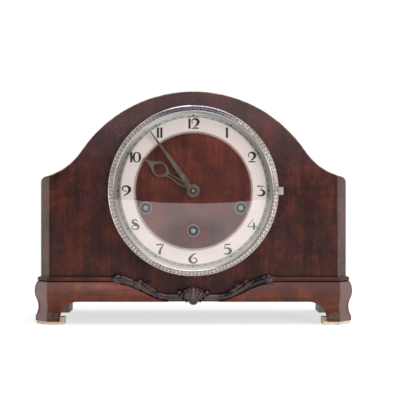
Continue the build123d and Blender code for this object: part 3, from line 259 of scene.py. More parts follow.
@dataclass(frozen=True)
class WoodFinish:
    """Stained and polished wood with streaks, clouds, open pores and settled dust, and with painted
    sheen, highlights and shade where its fields ask for them.
    """

    name: str
    dark: Colour
    middle: Colour
    warm: Colour
    grain: Grain = Grain.UPRIGHT
    # colour of the dust, also laid on as painted sheen
    dust_colour: Colour = (118, 98, 100)
    dust: float = 0.35
    settled: Four | None = None
    # painted sheen: heights over which a haze of the dust colour rises, and its share at the top
    bloom: Triple = (0.0, 1.0, 0.0)
    # painted light and shade across the clock: above 0 lighter on the right, below 0 lighter on the
    # left
    lean: float = 0.0
    rough: Point2 = (0.34, 0.5)
    coat: float = 0.15
    coat_rough: float = 0.18
    gloss: float = 0.5
    worn_edge: bool = False
    cant: Colour | None = None
    rear: Colour | None = None
    relief: bool = False
    groove: float = 0.0
    ledge: float = 0.0

    # colour of the painted shadow in the groove and of the dark line over the ledge
    SEAM = (16, 9, 8)
    # pale colour of the chips and of the painted highlight along the front edge
    CHIPPED = (186, 158, 132)
    CANT_ASIDE = (0.1740, 0.1755, 0.0, 0.75)
    CANT_FRONT = (-0.0585, -0.0615)
    REAR_HALF = (0.0, 0.01)
    RIDGE = (0.88, 1.12)
    RIDGE_ASIDE = (0.062, 0.082, 1.0, 0.1)
    GROOVE_REACH = (0.0003, 0.0012, 0.9, 0.0)
    LEDGE_REACH = (0.0014, 0.0034, 0.75, 0.0)
    LEDGE_ASIDE = (0.094, 0.097)
    LEAN_ACROSS = (-0.15, 0.15)
    ARCH_CENTRE = (0.0, 0.117)
    ARCH_RIM = (0.1606, 0.1616)
    ARCH_FOOT = (0.203, 0.207)
    COVE_CENTRE = (0.1965, 0.2495)
    COVE_RIM = (0.0764, 0.0754)
    FRONT_EDGE = (-0.0665, -0.0674)

    def build(self) -> Material:
        """Builds the finish.

        Returns:
            Its material.
        """
        graph = Graph(self.name)
        along = graph.mapped(self.grain.value)
        broad = graph.noise(30.0, 3.0, 0.55, along, 0.8)
        clouds = graph.noise(30.0, 6.0, 0.66)
        streaks = graph.noise(190.0, 5.0, 0.6, along, 0.4)
        fibres = graph.noise(1500.0, 2.0, 0.5, along)
        tone = graph.math("ADD", graph.times(broad, 0.26), graph.times(clouds, 0.52))
        tone = graph.math("ADD", tone, graph.times(streaks, 0.22))
        colour = graph.ramp(tone, (0.38, self.dark), (0.5, self.middle), (0.63, self.warm))
        pores = graph.ramp(fibres, (0.36, 0.6), (0.54, 1.0))
        colour = graph.mix(0.6, colour, pores, "MULTIPLY")
        mottle = graph.ramp(graph.noise(360.0, 5.0, 0.78), (0.36, 0.5), (0.62, 1.2))
        colour = graph.mix(0.75, colour, mottle, "MULTIPLY")
        patches = graph.ramp(graph.noise(17.0, 4.0, 0.6), (0.42, 0.0), (0.7, 1.0))
        specks = graph.ramp(graph.noise(1100.0, 3.0, 0.7), (0.52, 0.0), (0.7, 1.0))
        dust_and_sheen = graph.times(patches, specks, self.dust)
        if self.settled:
            dust_and_sheen = graph.times(dust_and_sheen, graph.along("Z", *self.settled))
        # painted sheen: above a height the dust colour is laid on more strongly, standing for light
        # caught by the upward-facing top
        low, high, share = self.bloom
        dust_and_sheen = graph.math("ADD", dust_and_sheen, graph.along("Z", low, high, 0.0, share))
        colour = self.marked(graph, graph.mix(dust_and_sheen, colour, self.dust_colour))
        # painted light and shade: the colour is made lighter towards one side and darker towards
        # the other, as light falls from the side
        if self.lean:
            across = graph.along("X", *self.LEAN_ACROSS, 1.0 - self.lean, 1.0 + self.lean)
            colour = graph.mix(1.0, colour, across, "MULTIPLY")
        graph.set(base_color=colour, roughness=graph.spread(clouds, *self.rough),
                  coat_weight=self.coat, coat_roughness=self.coat_rough,
                  specular_ior_level=self.gloss)
        graph.bump(graph.mix(0.5, fibres, streaks), 0.25, 0.0002)
        return graph.material

    def marked(self, graph: Graph, colour: object) -> object:
        """Adds chipped edges and worn ridges, both with a painted highlight, painted sheen on the
        cants, painted shade on the rear, a painted shadow in the groove and a dark line over the
        ledge.

        Args:
            graph: the finish's node tree.
            colour: the socket of the wood's colour.

        Returns:
            The socket of the marked colour.
        """
        # pale front edge of the arch and the coves: chips, and along them a painted highlight
        if self.worn_edge:
            colour = graph.mix(self.edge_mask(graph), colour, self.CHIPPED)
        # painted sheen: the canted corner faces are made paler and greyer, standing for the sheen
        # they catch
        if self.cant:
            side = graph.times(graph.aside(*self.CANT_ASIDE), graph.along("Y", *self.CANT_FRONT))
            colour = graph.mix(side, colour, self.cant)
        # painted shade: the rear half of the blocks takes a darker colour, standing for the shade
        # under the case
        if self.rear:
            colour = graph.mix(graph.along("Y", *self.REAR_HALF), colour, self.rear)
        # ridges of the carving made paler: partly wear, partly a painted highlight, kept off the
        # knobs
        if self.relief:
            ridge = graph.between(graph.attribute("ridge"), *self.RIDGE)
            rubbed_and_lit = graph.ramp(graph.noise(300.0, 3.0), (0.35, 0.2), (0.65, 0.8))
            worn = graph.times(ridge, rubbed_and_lit, graph.aside(*self.RIDGE_ASIDE))
            colour = graph.mix(worn, colour, self.warm)
        # painted shadow: a dark line along the groove between the plinth and the bead
        if self.groove:
            away = graph.math("ABSOLUTE", graph.math("SUBTRACT", graph.axis("Z"), self.groove))
            colour = graph.mix(graph.between(away, *self.GROOVE_REACH), colour, self.SEAM)
        # a dark line painted just above the bead's top, away from the middle
        if self.ledge:
            above = graph.math("SUBTRACT", graph.axis("Z"), self.ledge)
            line = graph.times(graph.between(above, *self.LEDGE_REACH),
                               graph.aside(*self.LEDGE_ASIDE))
            colour = graph.mix(line, colour, self.SEAM)
        return colour

    def edge_mask(self, graph: Graph) -> object:
        """Finds the front edge along the arch and the coves of the front panel, for chips and a
        painted highlight.

        Args:
            graph: the finish's node tree.

        Returns:
            The socket of the mask.
        """
        arch = graph.between(graph.distance(*self.ARCH_CENTRE), *self.ARCH_RIM)
        arch = graph.times(arch, graph.along("Z", *self.ARCH_FOOT))
        cove = graph.between(graph.distance(*self.COVE_CENTRE, True), *self.COVE_RIM)
        chips = graph.ramp(graph.noise(130.0, 4.0, 0.7), (0.42, 0.0), (0.6, 0.75))
        front = graph.along("Y", *self.FRONT_EDGE)
        return graph.times(graph.math("MAXIMUM", arch, cove), chips, front)


@dataclass(frozen=True)
class MetalFinish:
    """Metal tarnished in clouds, with fine scratches."""

    name: str
    clean: Colour
    tarnish: Colour
    tarnish_share: Point2 = (0.45, 0.75)
    rough: Point2 = (0.22, 0.42)
    metallic: float = 1.0
    relief: bool = False
    # depth past which a hole's painted shade starts
    dark_from: float | None = None

    RIDGE = (0.05, 0.55)
    # heights over which the painted shade on the band's top grows
    UPPER = (0.2397, 0.2537)
    UPPER_RIDGE = (118, 112, 124)
    UPPER_RECESS = (52, 48, 58)
    HOLE = (12, 12, 14)
    HOLE_FADE = 0.5 * MM

    def build(self) -> Material:
        """Builds the finish.

        Returns:
            Its material.
        """
        graph = Graph(self.name)
        clouds = graph.noise(70.0, 5.0, 0.65)
        lines = graph.noise(900.0, 2.0, 0.5)
        bare, full = self.tarnish_share
        mask = graph.ramp(clouds, (bare, 0.0), (full, 1.0))
        colour = graph.mix(mask, self.clean, self.tarnish)
        if self.relief:
            ridge = graph.between(graph.attribute("ridge"), *self.RIDGE)
            # painted shade: the top of the chased band is darkened, ridges and hollows alike,
            # standing for the dark room it reflects there
            painted_top_shade = graph.along("Z", *self.UPPER)
            colour = graph.mix(painted_top_shade, colour, self.UPPER_RIDGE)
            recess = graph.mix(painted_top_shade, self.tarnish, self.UPPER_RECESS)
            colour = graph.mix(ridge, recess, colour)
        # painted shade: past a depth the grommets darken into their holes
        if self.dark_from is not None:
            hole_shade = graph.along("Y", self.dark_from, self.dark_from + self.HOLE_FADE)
            colour = graph.mix(hole_shade, colour, self.HOLE)
        rough = graph.spread(graph.mix(0.4, clouds, lines), *self.rough)
        graph.set(base_color=colour, roughness=rough, metallic=self.metallic)
        graph.bump(lines, 0.12, 0.0001)
        return graph.material


@dataclass(frozen=True)
class SilveredFinish:
    """Silvered dial ring: a white numeral band inside a greened minute band."""

    name: str
    centre_height: float
    band: Colour
    rim: Colour
    low: Colour
    # painted shade colour, laid on the rim's left side
    tarnish: Colour
    # painted light colour, laid on the rim's top
    fresh: Colour
    span: Point2 = (0.0720, 0.0962)
    ripple: float = 0.0016
    metallic: float = 0.06

    RIM_START = (0.58, 0.66)
    LOW_PLACE = 0.8
    TARNISHED_SIDE = (-0.06, -0.09, 0.0, 0.6)
    FRESH_TOP = (0.055, 0.085)

    def build(self) -> Material:
        """Builds the finish.

        Returns:
            Its material.
        """
        graph = Graph(self.name)
        cloud = graph.noise(60.0, 5.0, 0.6)
        radius = graph.distance(0.0, self.centre_height)
        radius = graph.math("ADD", radius, graph.times(cloud, self.ripple))
        share = graph.between(radius, *self.span)
        start, end = self.RIM_START
        colour = graph.ramp(share, (0.0, self.band), (start, self.band), (end, self.rim),
                            (self.LOW_PLACE, self.low), (1.0, self.rim))
        outside = graph.between(share, start, end)
        # painted shade: the rim is darkened on its left side, where the bezel's shadow falls
        painted_side_shade = graph.times(graph.along("X", *self.TARNISHED_SIDE), outside)
        colour = graph.mix(painted_side_shade, colour, self.tarnish)
        # painted light: the rim's top is made paler, offsetting the bezel's shadow on it
        above = graph.math("SUBTRACT", graph.axis("Z"), self.centre_height)
        above = graph.times(graph.between(above, *self.FRESH_TOP), outside)
        colour = graph.mix(above, colour, self.fresh)
        spots = graph.ramp(graph.noise(420.0, 4.0, 0.7), (0.58, 1.0), (0.78, 0.72))
        colour = graph.mix(0.6, colour, spots, "MULTIPLY")
        colour = graph.mix(0.3, colour, graph.spread(cloud, 0.86, 1.0), "MULTIPLY")
        graph.set(base_color=colour, roughness=graph.spread(cloud, 0.42, 0.6),
                  metallic=self.metallic)
        graph.bump(graph.noise(1600.0, 2.0), 0.08, 0.0001)
        return graph.material


@dataclass(frozen=True)
class PaintFinish:
    """Dial paint, worn thin in places."""

    name: str
    ink: Colour
    faded: Colour

    def build(self) -> Material:
        """Builds the finish.

        Returns:
            Its material.
        """
        graph = Graph(self.name)
        wear = graph.noise(700.0, 4.0, 0.65)
        thin = graph.ramp(wear, (0.5, 0.0), (0.75, 1.0))
        graph.set(base_color=graph.mix(thin, self.ink, self.faded),
                  roughness=graph.spread(wear, 0.4, 0.6))
        graph.bump(wear, 0.1, 0.0001)
        return graph.material


@dataclass(frozen=True)
class GlassFinish:
    """Domed glass with a slight haze of old cleaning."""

    name: str
    tint: Colour = (254.44, 254.44, 253.31)
    index: float = 1.72
    haze: float = 0.012

    def build(self) -> Material:
        """Builds the finish, clear to shadow rays.

        Returns:
            Its material.
        """
        graph = Graph(self.name)
        haze = graph.ramp(graph.noise(24.0, 5.0, 0.65), (0.45, 0.0), (0.8, self.haze))
        graph.set(base_color=self.tint, roughness=haze, transmission_weight=1.0, ior=self.index)
        path = graph.node("LightPath").outputs
        graph.cover(path["Is Shadow Ray"], graph.node("BsdfTransparent").outputs[0])
        return graph.material


class Finishes:
    """All finishes of the clock, built once."""

    WOODS = {
        "front": WoodFinish(
            "front veneer", (34, 16, 15), (66, 31, 26), (104, 44, 29),
            dust=0.6, settled=(0.09, 0.23, 0.35, 1.6), bloom=(0.18, 0.25, 0.3), lean=0.12,
            coat=0.06, gloss=0.22, worn_edge=True, ledge=0.0564),
        "strip": WoodFinish(
            "corner strip wood", (72, 48, 46), (102, 74, 70), (126, 90, 82),
            dust=0.5, lean=-0.16, rough=(0.4, 0.58), coat=0.05),
        "plinth": WoodFinish(
            "plinth wood", (64, 28, 18), (106, 49, 31), (148, 75, 39),
            Grain.ACROSS, dust=0.45, bloom=(0.035, 0.045, 0.3), lean=-0.16, rough=(0.42, 0.58),
            coat=0.06, gloss=0.3, cant=(134, 111, 109), groove=0.051),
        "bead": WoodFinish(
            "bead wood", (46, 18, 13), (90, 39, 26), (138, 64, 37),
            Grain.ACROSS, dust=0.1, lean=-0.12, rough=(0.28, 0.42), coat=0.05, gloss=0.3,
            groove=0.051),
        "carved": WoodFinish(
            "carved wood", (18, 11, 11), (38, 24, 23), (120, 92, 88),
            Grain.ACROSS, dust=0.1, rough=(0.14, 0.26), coat=0.5, coat_rough=0.03, gloss=0.3,
            relief=True),
        "inside": WoodFinish(
            "inside boards", (84, 58, 40), (122, 88, 60), (150, 112, 78),
            Grain.ACROSS, dust=0.3, rough=(0.5, 0.7), coat=0.0),
        "back": WoodFinish(
            "back boards", (58, 34, 28), (86, 54, 44), (112, 72, 54),
            Grain.ACROSS, dust=0.4, rough=(0.42, 0.6), coat=0.05),
        "pale": WoodFinish(
            "pale block wood", (224, 202, 172), (250, 236, 212), (255, 248, 234),
            Grain.ACROSS, (120, 100, 84), dust=0.2, rough=(0.55, 0.75), coat=0.0,
            rear=(134, 127, 121)),
        "dial": WoodFinish(
            "dial veneer", (56, 20, 13), (98, 38, 26), (132, 56, 35),
            dust=0.08, rough=(0.36, 0.52), coat=0.05, gloss=0.3),
    }
    METALS = {
        "bezel": ("plated bezel", (224, 220, 222), (168, 150, 138), (0.5, 0.85), (0.16, 0.32)),
        "trim": ("polished trim", (206, 188, 178), (140, 122, 114), (0.45, 0.75), (0.2, 0.36), 0.4),
        "tab": ("bright catch tab", (194, 189, 198), (140, 136, 147), (0.5, 0.85), (0.2, 0.36),
                0.2),
        "hand": ("patinated hands", (122, 109, 97), (85, 76, 67), (0.35, 0.65), (0.38, 0.56), 0.3),
        "nut": ("dark hand nut", (74, 66, 62), (44, 39, 36), (0.4, 0.7), (0.26, 0.4), 0.4),
        # painted shade: the hinge is made dark to match the shade beside the bezel where it sits
        "hinge": ("shade dark hinge", (66, 42, 37), (44, 27, 24), (0.35, 0.65), (0.45, 0.62), 0.1),
        "arbor": ("winding steel", (182, 188, 200), (104, 108, 118), (0.4, 0.75), (0.16, 0.3),
                  0.35),
        "brass": ("lacquered brass", (190, 156, 92), (130, 100, 58), (0.5, 0.8)),
        # painted shade: the plates, seen only through the winding holes, are near black, standing
        # for the shade inside the case
        "plate": ("painted shade plate", (12, 12, 15), (8, 8, 10), (0.4, 0.7), (0.5, 0.7), 0.6),
        "steel": ("grey steel", (176, 178, 182), (112, 110, 108), (0.5, 0.8)),
        "iron": ("blackened iron", (70, 68, 68), (96, 70, 54), (0.55, 0.85), (0.4, 0.62)),
    }
    OTHERS = {
        "chased": MetalFinish("chased band", (226, 218, 212), (96, 66, 42), (0.55, 0.9),
                              (0.22, 0.4), 0.6, relief=True),
        "grommet": MetalFinish("silvered grommets", (156, 149, 152), (112, 106, 108),
                               rough=(0.26, 0.42), metallic=0.5, dark_from=HOLE_FRONT + 0.3 * MM),
        "silvered": SilveredFinish(
            "silvered ring", DIAL_HEIGHT, band=(239, 225, 222), rim=(230, 226, 215),
            low=(200, 197, 184), tarnish=(112, 100, 90), fresh=(243, 241, 232)),
        "ink": PaintFinish("numeral paint", (24, 20, 26), (58, 52, 54)),
        "track": PaintFinish("minute track paint", (54, 54, 46), (98, 97, 87)),
        "glass": GlassFinish("domed glass"),
    }

    def __init__(self) -> None:
        """Builds every finish."""
        metals = {key: MetalFinish(*values) for key, values in self.METALS.items()}
        every = {**self.WOODS, **metals, **self.OTHERS}
        self.made = {key: finish.build() for key, finish in every.items()}

    def __getitem__(self, key: str) -> Material:
        """Gives a finish by its short name."""
        return self.made[key]


@dataclass(frozen=True)
class Piece:
    """How a new piece is named, dressed and carried."""

    name: str
    body: str
    slot: str
    finish: str
    stands_for: tuple[str, ...] = ()

    def settle(self, bm: BMesh, finishes: Finishes, crease: float = 50.0) -> None:
        """Makes the object of a modelled closed mesh and joins it to its body.

        Args:
            bm: the modelled mesh in metres, freed here.
            finishes: the clock's finishes.
            crease: angle in degrees past which an edge stays sharp.
        """
        bmesh.ops.recalc_face_normals(bm, faces=bm.faces[:])
        mesh = bpy.data.meshes.new(self.name)
        bm.to_mesh(mesh)
        bm.free()
        mesh.shade_smooth()
        mesh.set_sharp_from_angle(angle=math.radians(crease))
        mesh.materials.append(finishes[self.finish])
        obj = add_object(self.name, mesh)
        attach(obj, self.body)
        if self.stands_for:
            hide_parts(*self.stands_for)
        LOG.info("piece %s rides on %s with %d faces", self.name, self.body, len(mesh.polygons))


def near_path(x: float, z: float, path: Sequence[Point2]) -> Point2:
    """Finds how far a point is from a line of points.

    Args:
        x: the point's place across.
        z: the point's height.
        path: the points of the line.

    Returns:
        The distance, below 0 on the left of the line, and the length along it to there.
    """
    best, along, run = math.inf, 0.0, 0.0
    for (ax, az), (bx, bz) in zip(path, path[1:]):
        dx, dz = bx - ax, bz - az
        size = math.hypot(dx, dz)
        t = max(0.0, min(1.0, ((x - ax) * dx + (z - az) * dz) / size ** 2))
        gap = math.hypot(x - ax - t * dx, z - az - t * dz)
        if gap < abs(best):
            best = -gap if dx * (z - az) > dz * (x - ax) else gap
            along = run + t * size
        run += size
    return best, along


def dome(gap: float, reach: float) -> float:
    """Gives the height of a rounded ridge, 1 at its middle and 0 from its reach on."""
    return math.sqrt(max(0.0, 1.0 - (gap / reach) ** 2))


def mound(height: float, gap: float, reach: float, base: float, rise: float) -> float:
    """Adds a rounded form with a half width, an edge's height and a rise to a relief."""
    return max(height, base + rise * dome(gap, reach)) if abs(gap) < reach else height


def turn_z(share: float) -> Matrix:
    """Gives a turn about the z axis by a share of a full circle."""
    return Matrix.Rotation(math.tau * share, 3, "Z")


@dataclass
class Dial:
    """The dial's numerals, minute track and hour dots, in millimetres from the dial centre.

    Strokes are points across and up with the brush's half width, in thousandths of a figure's
    height. The 9 is a 6 turned round.
    """

    finishes: Finishes
    centre_height: float = DIAL_HEIGHT / MM
    face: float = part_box("chapter_ring")[0].y / MM
    numeral_circle: float = 80.4
    numeral_height: float = 12.2
    figure_width: float = 0.48
    one_width: float = 0.2
    track_circles: Point2 = (87.8, 90.8)
    circle_steps: int = 240
    line_width: float = 0.42
    dash_foot: float = 88.75
    dash_height: float = 1.0
    dash_start: float = 0.18
    dash_share: float = 0.64
    dash_steps: int = 4
    dot_circle: float = 90.0
    dot_size: float = 2.3
    dot_bevel: float = 0.06
    paint: float = 0.1
    broad: float = 1.5
    thin: float = 0.95
    thick: float = 7.5
    spacing: float = 0.03

    NUMERAL_COATS = 6.0
    DOT_COATS = 3.0
    BREADTH = {"4": 1.12, "6": 1.14, "8": 1.16, "9": 1.18}
    STROKES = {
        "0": (((240, 970, 35), (450, 500, 85), (240, 30, 35), (30, 500, 85)),),
        "1": (((100, 0, 76), (100, 500, 70), (100, 1000, 76)),),
        "2": (((100, 520, 40), (30, 700, 35), (140, 930, 45), (330, 930, 75),
               (450, 710, 92), (380, 420, 70), (200, 200, 35)),
              ((30, 40, 35), (240, 70, 55), (490, 50, 45))),
        "3": (((40, 950, 60), (240, 960, 40), (430, 960, 25)),
              ((420, 930, 25), (200, 600, 30)),
              ((200, 600, 30), (400, 520, 65), (470, 290, 95), (300, 40, 60),
               (20, 100, 30))),
        "4": (((340, 1000, 30), (160, 640, 30), (0, 280, 30)),
              ((0, 280, 30), (280, 280, 35), (560, 280, 40)),
              ((380, 0, 75), (380, 400, 65), (380, 720, 45))),
        "5": (((100, 950, 50), (280, 950, 50), (460, 970, 50)),
              ((110, 930, 30), (70, 550, 30)),
              ((70, 550, 30), (300, 600, 60), (470, 340, 95), (300, 40, 60),
               (20, 80, 30))),
        "6": (((380, 980, 30), (160, 740, 60), (40, 340, 95), (220, 30, 55),
               (440, 240, 50), (340, 500, 40), (180, 520, 30)),),
        "7": (((20, 930, 55), (250, 950, 50), (500, 950, 35)),
              ((490, 930, 30), (300, 500, 65), (220, 0, 85))),
        "8": (((400, 800, 35), (250, 970, 40), (90, 790, 60), (260, 530, 95),
               (440, 240, 60), (250, 30, 40), (60, 210, 35), (220, 480, 30),
               (360, 660, 30)),),
    }

    def on_face(self, bm: BMesh, x: float = 0.0, z: float = 0.0) -> None:
        """Moves a mesh that is drawn flat in millimetres to a place on the dial face."""
        stand = Matrix(((MM, 0, 0, x * MM), (0, 0, -MM, self.face * MM),
                        (0, MM, 0, (self.centre_height + z) * MM), (0, 0, 0, 1)))
        bmesh.ops.transform(bm, matrix=stand, verts=bm.verts[:])

    def digit(self, mark: str) -> bpy.types.Mesh:
        """Draws one figure as brush strokes of changing width, one unit high.

        Args:
            mark: the figure.

        Returns:
            The figure's mesh.
        """
        curve = bpy.data.curves.new("figure", "CURVE")
        curve.dimensions = "3D"
        curve.bevel_depth = 1.0
        curve.bevel_resolution = 2
        curve.resolution_u = 10
        curve.use_fill_caps = True
        middle = self.figure_width / 2
        stretch = self.BREADTH.get(mark, 1.0) * self.broad
        turned = mark == "9"
        for stroke in self.STROKES["6" if turned else mark]:
            spline = curve.splines.new("BEZIER")
            spline.use_cyclic_u = mark == "0"
            spline.bezier_points.add(len(stroke) - 1)
            for point, place in zip(spline.bezier_points, stroke):
                x, y, width = (value / 1000 for value in place)
                if turned:
                    x, y = self.figure_width - x, 1.0 - y
                point.co = (middle * self.broad + (x - middle) * stretch, y, 0.0)
                point.radius = width * (self.thin + self.thick * width)
                point.handle_left_type = point.handle_right_type = "AUTO"
        holder = add_object("figure", curve)
        bpy.context.view_layer.update()
        drawn = holder.evaluated_get(bpy.context.evaluated_depsgraph_get())
        mesh = bpy.data.meshes.new_from_object(drawn)
        bpy.data.objects.remove(holder)
        bpy.data.curves.remove(curve)
        return mesh

    def numerals(self) -> None:
        """Paints the twelve numbers upright round the numeral band."""
        size = self.numeral_height
        for hour in range(1, 13):
            marks = str(hour)
            widths = [(self.one_width if mark == "1" else self.figure_width) * self.broad
                      for mark in marks]
            bm = bmesh.new()
            offset = -(sum(widths) + self.spacing * (len(marks) - 1)) / 2
            for mark, width in zip(marks, widths):
                mesh = self.digit(mark)
                known = len(bm.verts)
                bm.from_mesh(mesh)
                bpy.data.meshes.remove(mesh)
                bm.verts.ensure_lookup_table()
                fresh = bm.verts[known:]
                bmesh.ops.translate(bm, vec=(offset, -0.5, 0.0), verts=fresh)
                bmesh.ops.scale(bm, vec=(size, size, self.paint * self.NUMERAL_COATS), verts=fresh)
                offset += width + self.spacing
            angle = math.tau * hour / 12
            self.on_face(bm, self.numeral_circle * math.sin(angle),
                         self.numeral_circle * math.cos(angle))
            Piece(f"numeral_{hour:02d}", "case", "silvered", "ink").settle(bm, self.finishes)

    def track(self) -> None:
        """Paints the railway minute track."""
        bm = bmesh.new()
        low, high = self.track_circles
        arcs = [(radius, self.line_width, 0.0, 1.0, self.circle_steps)
                for radius in self.track_circles]
        arcs += [(self.dash_foot, self.dash_height, (minute + self.dash_start) / 60,
                  self.dash_share / 60, self.dash_steps) for minute in range(60)]
        for radius, height, start, share, steps in arcs:
            ends = [bm.verts.new((place, 0.0, self.paint)) for place in (radius, radius + height)]
            edge = bm.edges.new(ends)
            bmesh.ops.rotate(bm, cent=(0, 0, 0), matrix=turn_z(start), verts=ends)
            bmesh.ops.spin(bm, geom=[*ends, edge], axis=(0, 0, 1), angle=math.tau * share,
                           steps=steps, use_merge=share == 1.0)
        for minute in range(60):
            made = bmesh.ops.create_grid(bm, x_segments=1, y_segments=1, size=0.5)["verts"]
            bmesh.ops.scale(bm, vec=(self.line_width, high - low, 1.0), verts=made)
            bmesh.ops.translate(bm, vec=(0.0, (low + high) / 2, self.paint), verts=made)
            bmesh.ops.rotate(bm, cent=(0, 0, 0), matrix=turn_z(-minute / 60), verts=made)
        self.on_face(bm)
        bmesh.ops.recalc_face_normals(bm, faces=bm.faces[:])
        for face in bm.faces:
            if face.normal.y > 0:
                face.normal_flip()
        bmesh.ops.solidify(bm, geom=bm.faces[:], thickness=self.paint * MM)
        Piece("minute_track", "case", "silvered", "track").settle(bm, self.finishes)

    def dots(self) -> None:
        """Paints the square hour dots on the track."""
        bm = bmesh.new()
        size = (self.dot_size, self.dot_size, self.paint * self.DOT_COATS)
        for hour in range(12):
            made = bmesh.ops.create_cube(bm, size=1.0)["verts"]
            bmesh.ops.scale(bm, vec=size, verts=made)
            bmesh.ops.translate(bm, vec=(0.0, self.dot_circle, 0.0), verts=made)
            bmesh.ops.rotate(bm, cent=(0, 0, 0), matrix=turn_z(-hour / 12), verts=made)
        bmesh.ops.bevel(bm, geom=bm.edges[:], offset=self.dot_bevel, affect="EDGES", segments=2,
                        profile=0.5, material=-1)
        self.on_face(bm)
        Piece("hour_dots", "case", "silvered", "ink").settle(bm, self.finishes)

    def build(self) -> None:
        """Builds all that is painted on the dial."""
        self.numerals()
        self.track()
        self.dots()


@dataclass
class BezelBand:
    """The chased band of running scrolls and leaves on the bezel, in millimetres.

    Its edges are radii with heights over the case front. The ornament's sizes are shares.
    """

    finishes: Finishes
    centre_height: float = DIAL_HEIGHT / MM
    case_front: float = CASE_FRONT / MM
    inner: Point2 = (95.7, 10.6)
    outer: Point2 = (100.5, 8.45)
    lift: float = 0.65
    bed: float = 0.12
    sink: float = 0.4
    repeats: int = 68
    rows: int = 14
    columns: int = 1360
    vine_swing: float = 0.3
    vine_reach: float = 0.12
    vine_height: float = 0.8
    leaves: tuple[Point2, Point2] = ((0.25, 0.3), (0.75, 0.7))
    leaf_size: Point2 = (0.19, 0.24)
    leaf_vein: float = 0.25
    leaf_veins: float = 5.0
    border_reach: float = 0.07
    border_height: float = 0.9

    def pattern(self, turn: float, share: float) -> float:
        """Gives the height of the ornament, from 0 to 1.

        Args:
            turn: angle round the dial.
            share: place across the band, 0 at the glass and 1 at the rim.

        Returns:
            The height as a share of the lift.
        """
        beat = turn * self.repeats / math.tau
        vine = 0.5 + self.vine_swing * math.sin(math.tau * beat)
        height = dome(share - vine, self.vine_reach) * self.vine_height
        for middle, side in self.leaves:
            along = (beat - math.floor(beat) - middle) / self.leaf_size[0]
            across = (share - side) / self.leaf_size[1]
            veins = math.cos(math.atan2(across, along) * self.leaf_veins)
            rise = 1.0 - self.leaf_vein + self.leaf_vein * veins
            height = mound(height, math.hypot(across, along), 1.0, 0.0, rise)
        border = dome(min(share, 1.0 - share), self.border_reach) * self.border_height
        return max(height, border)

    def depth(self, share: float) -> float:
        """Gives the depth of the band's plain surface at a place across it."""
        return self.case_front - self.inner[1] - (self.outer[1] - self.inner[1]) * share

    def build(self) -> None:
        """Models the band on the bezel and dresses it."""
        bm = bmesh.new()
        width = self.outer[0] - self.inner[0]
        front = [(row / self.rows, 0.0) for row in range(self.rows + 1)]
        line = [bm.verts.new(((self.inner[0] + width * share) * MM,
                              (self.depth(share) + sink) * MM, 0.0))
                for share, sink in front + [(1.0, self.sink), (0.0, self.sink)]]
        edges = [bm.edges.new(pair) for pair in zip(line, line[1:] + line[:1])]
        bmesh.ops.spin(bm, geom=line + edges, axis=(0, 1, 0), angle=math.tau, steps=self.columns,
                       use_merge=True)
        ridge = bm.verts.layers.float.new("ridge")
        slope = Vector((self.inner[1] - self.outer[1], width)).normalized()
        for vert in bm.verts:
            turn = math.atan2(vert.co.z, vert.co.x)
            share = (math.hypot(vert.co.x, vert.co.z) / MM - self.inner[0]) / width
            if vert.co.y / MM > self.depth(share) + self.sink / 2:
                continue
            vert[ridge] = height = self.pattern(turn, share)
            lift = (height * self.lift + self.bed) * MM
            vert.co.x += math.cos(turn) * slope.x * lift
            vert.co.z += math.sin(turn) * slope.x * lift
            vert.co.y -= slope.y * lift
        bmesh.ops.translate(bm, vec=(0, 0, self.centre_height * MM), verts=bm.verts[:])
        Piece("chased_band", "bezel", "bezel_metal", "chased").settle(bm, self.finishes, 80.0)


@dataclass
class DomedGlass:
    """The bezel's domed glass, turned smooth about the axis of the dial, in metres."""

    finishes: Finishes
    thickness: float = 1.8 * MM
    weld: float = 0.001 * MM
    rings: int = 40
    steps: int = 180

    def build(self) -> None:
        """Turns the dome and dresses it."""
        low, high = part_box("bezel_glass")
        radius = (high.x - low.x) / 2
        rise = high.y - low.y - self.thickness
        sphere = (radius ** 2 + rise ** 2) / (2 * rise)
        places = [radius * ring / self.rings for ring in range(self.rings + 1)]
        inner = [(place, high.y - rise + sphere - math.sqrt(sphere ** 2 - place ** 2))
                 for place in places]
        outer = [(place, depth - self.thickness) for place, depth in inner]
        bm = bmesh.new()
        line = [bm.verts.new((place, depth, 0.0)) for place, depth in inner + outer[::-1]]
        edges = [bm.edges.new(pair) for pair in zip(line, line[1:])]
        bmesh.ops.spin(bm, geom=line + edges, axis=(0, 1, 0), angle=math.tau, steps=self.steps,
                       use_merge=True)
        bmesh.ops.remove_doubles(bm, verts=bm.verts[:], dist=self.weld)
        bmesh.ops.translate(bm, vec=(0, 0, DIAL_HEIGHT), verts=bm.verts[:])
        Piece("turned_glass", "bezel", "glass", "glass", ("bezel_glass",)).settle(
            bm, self.finishes)


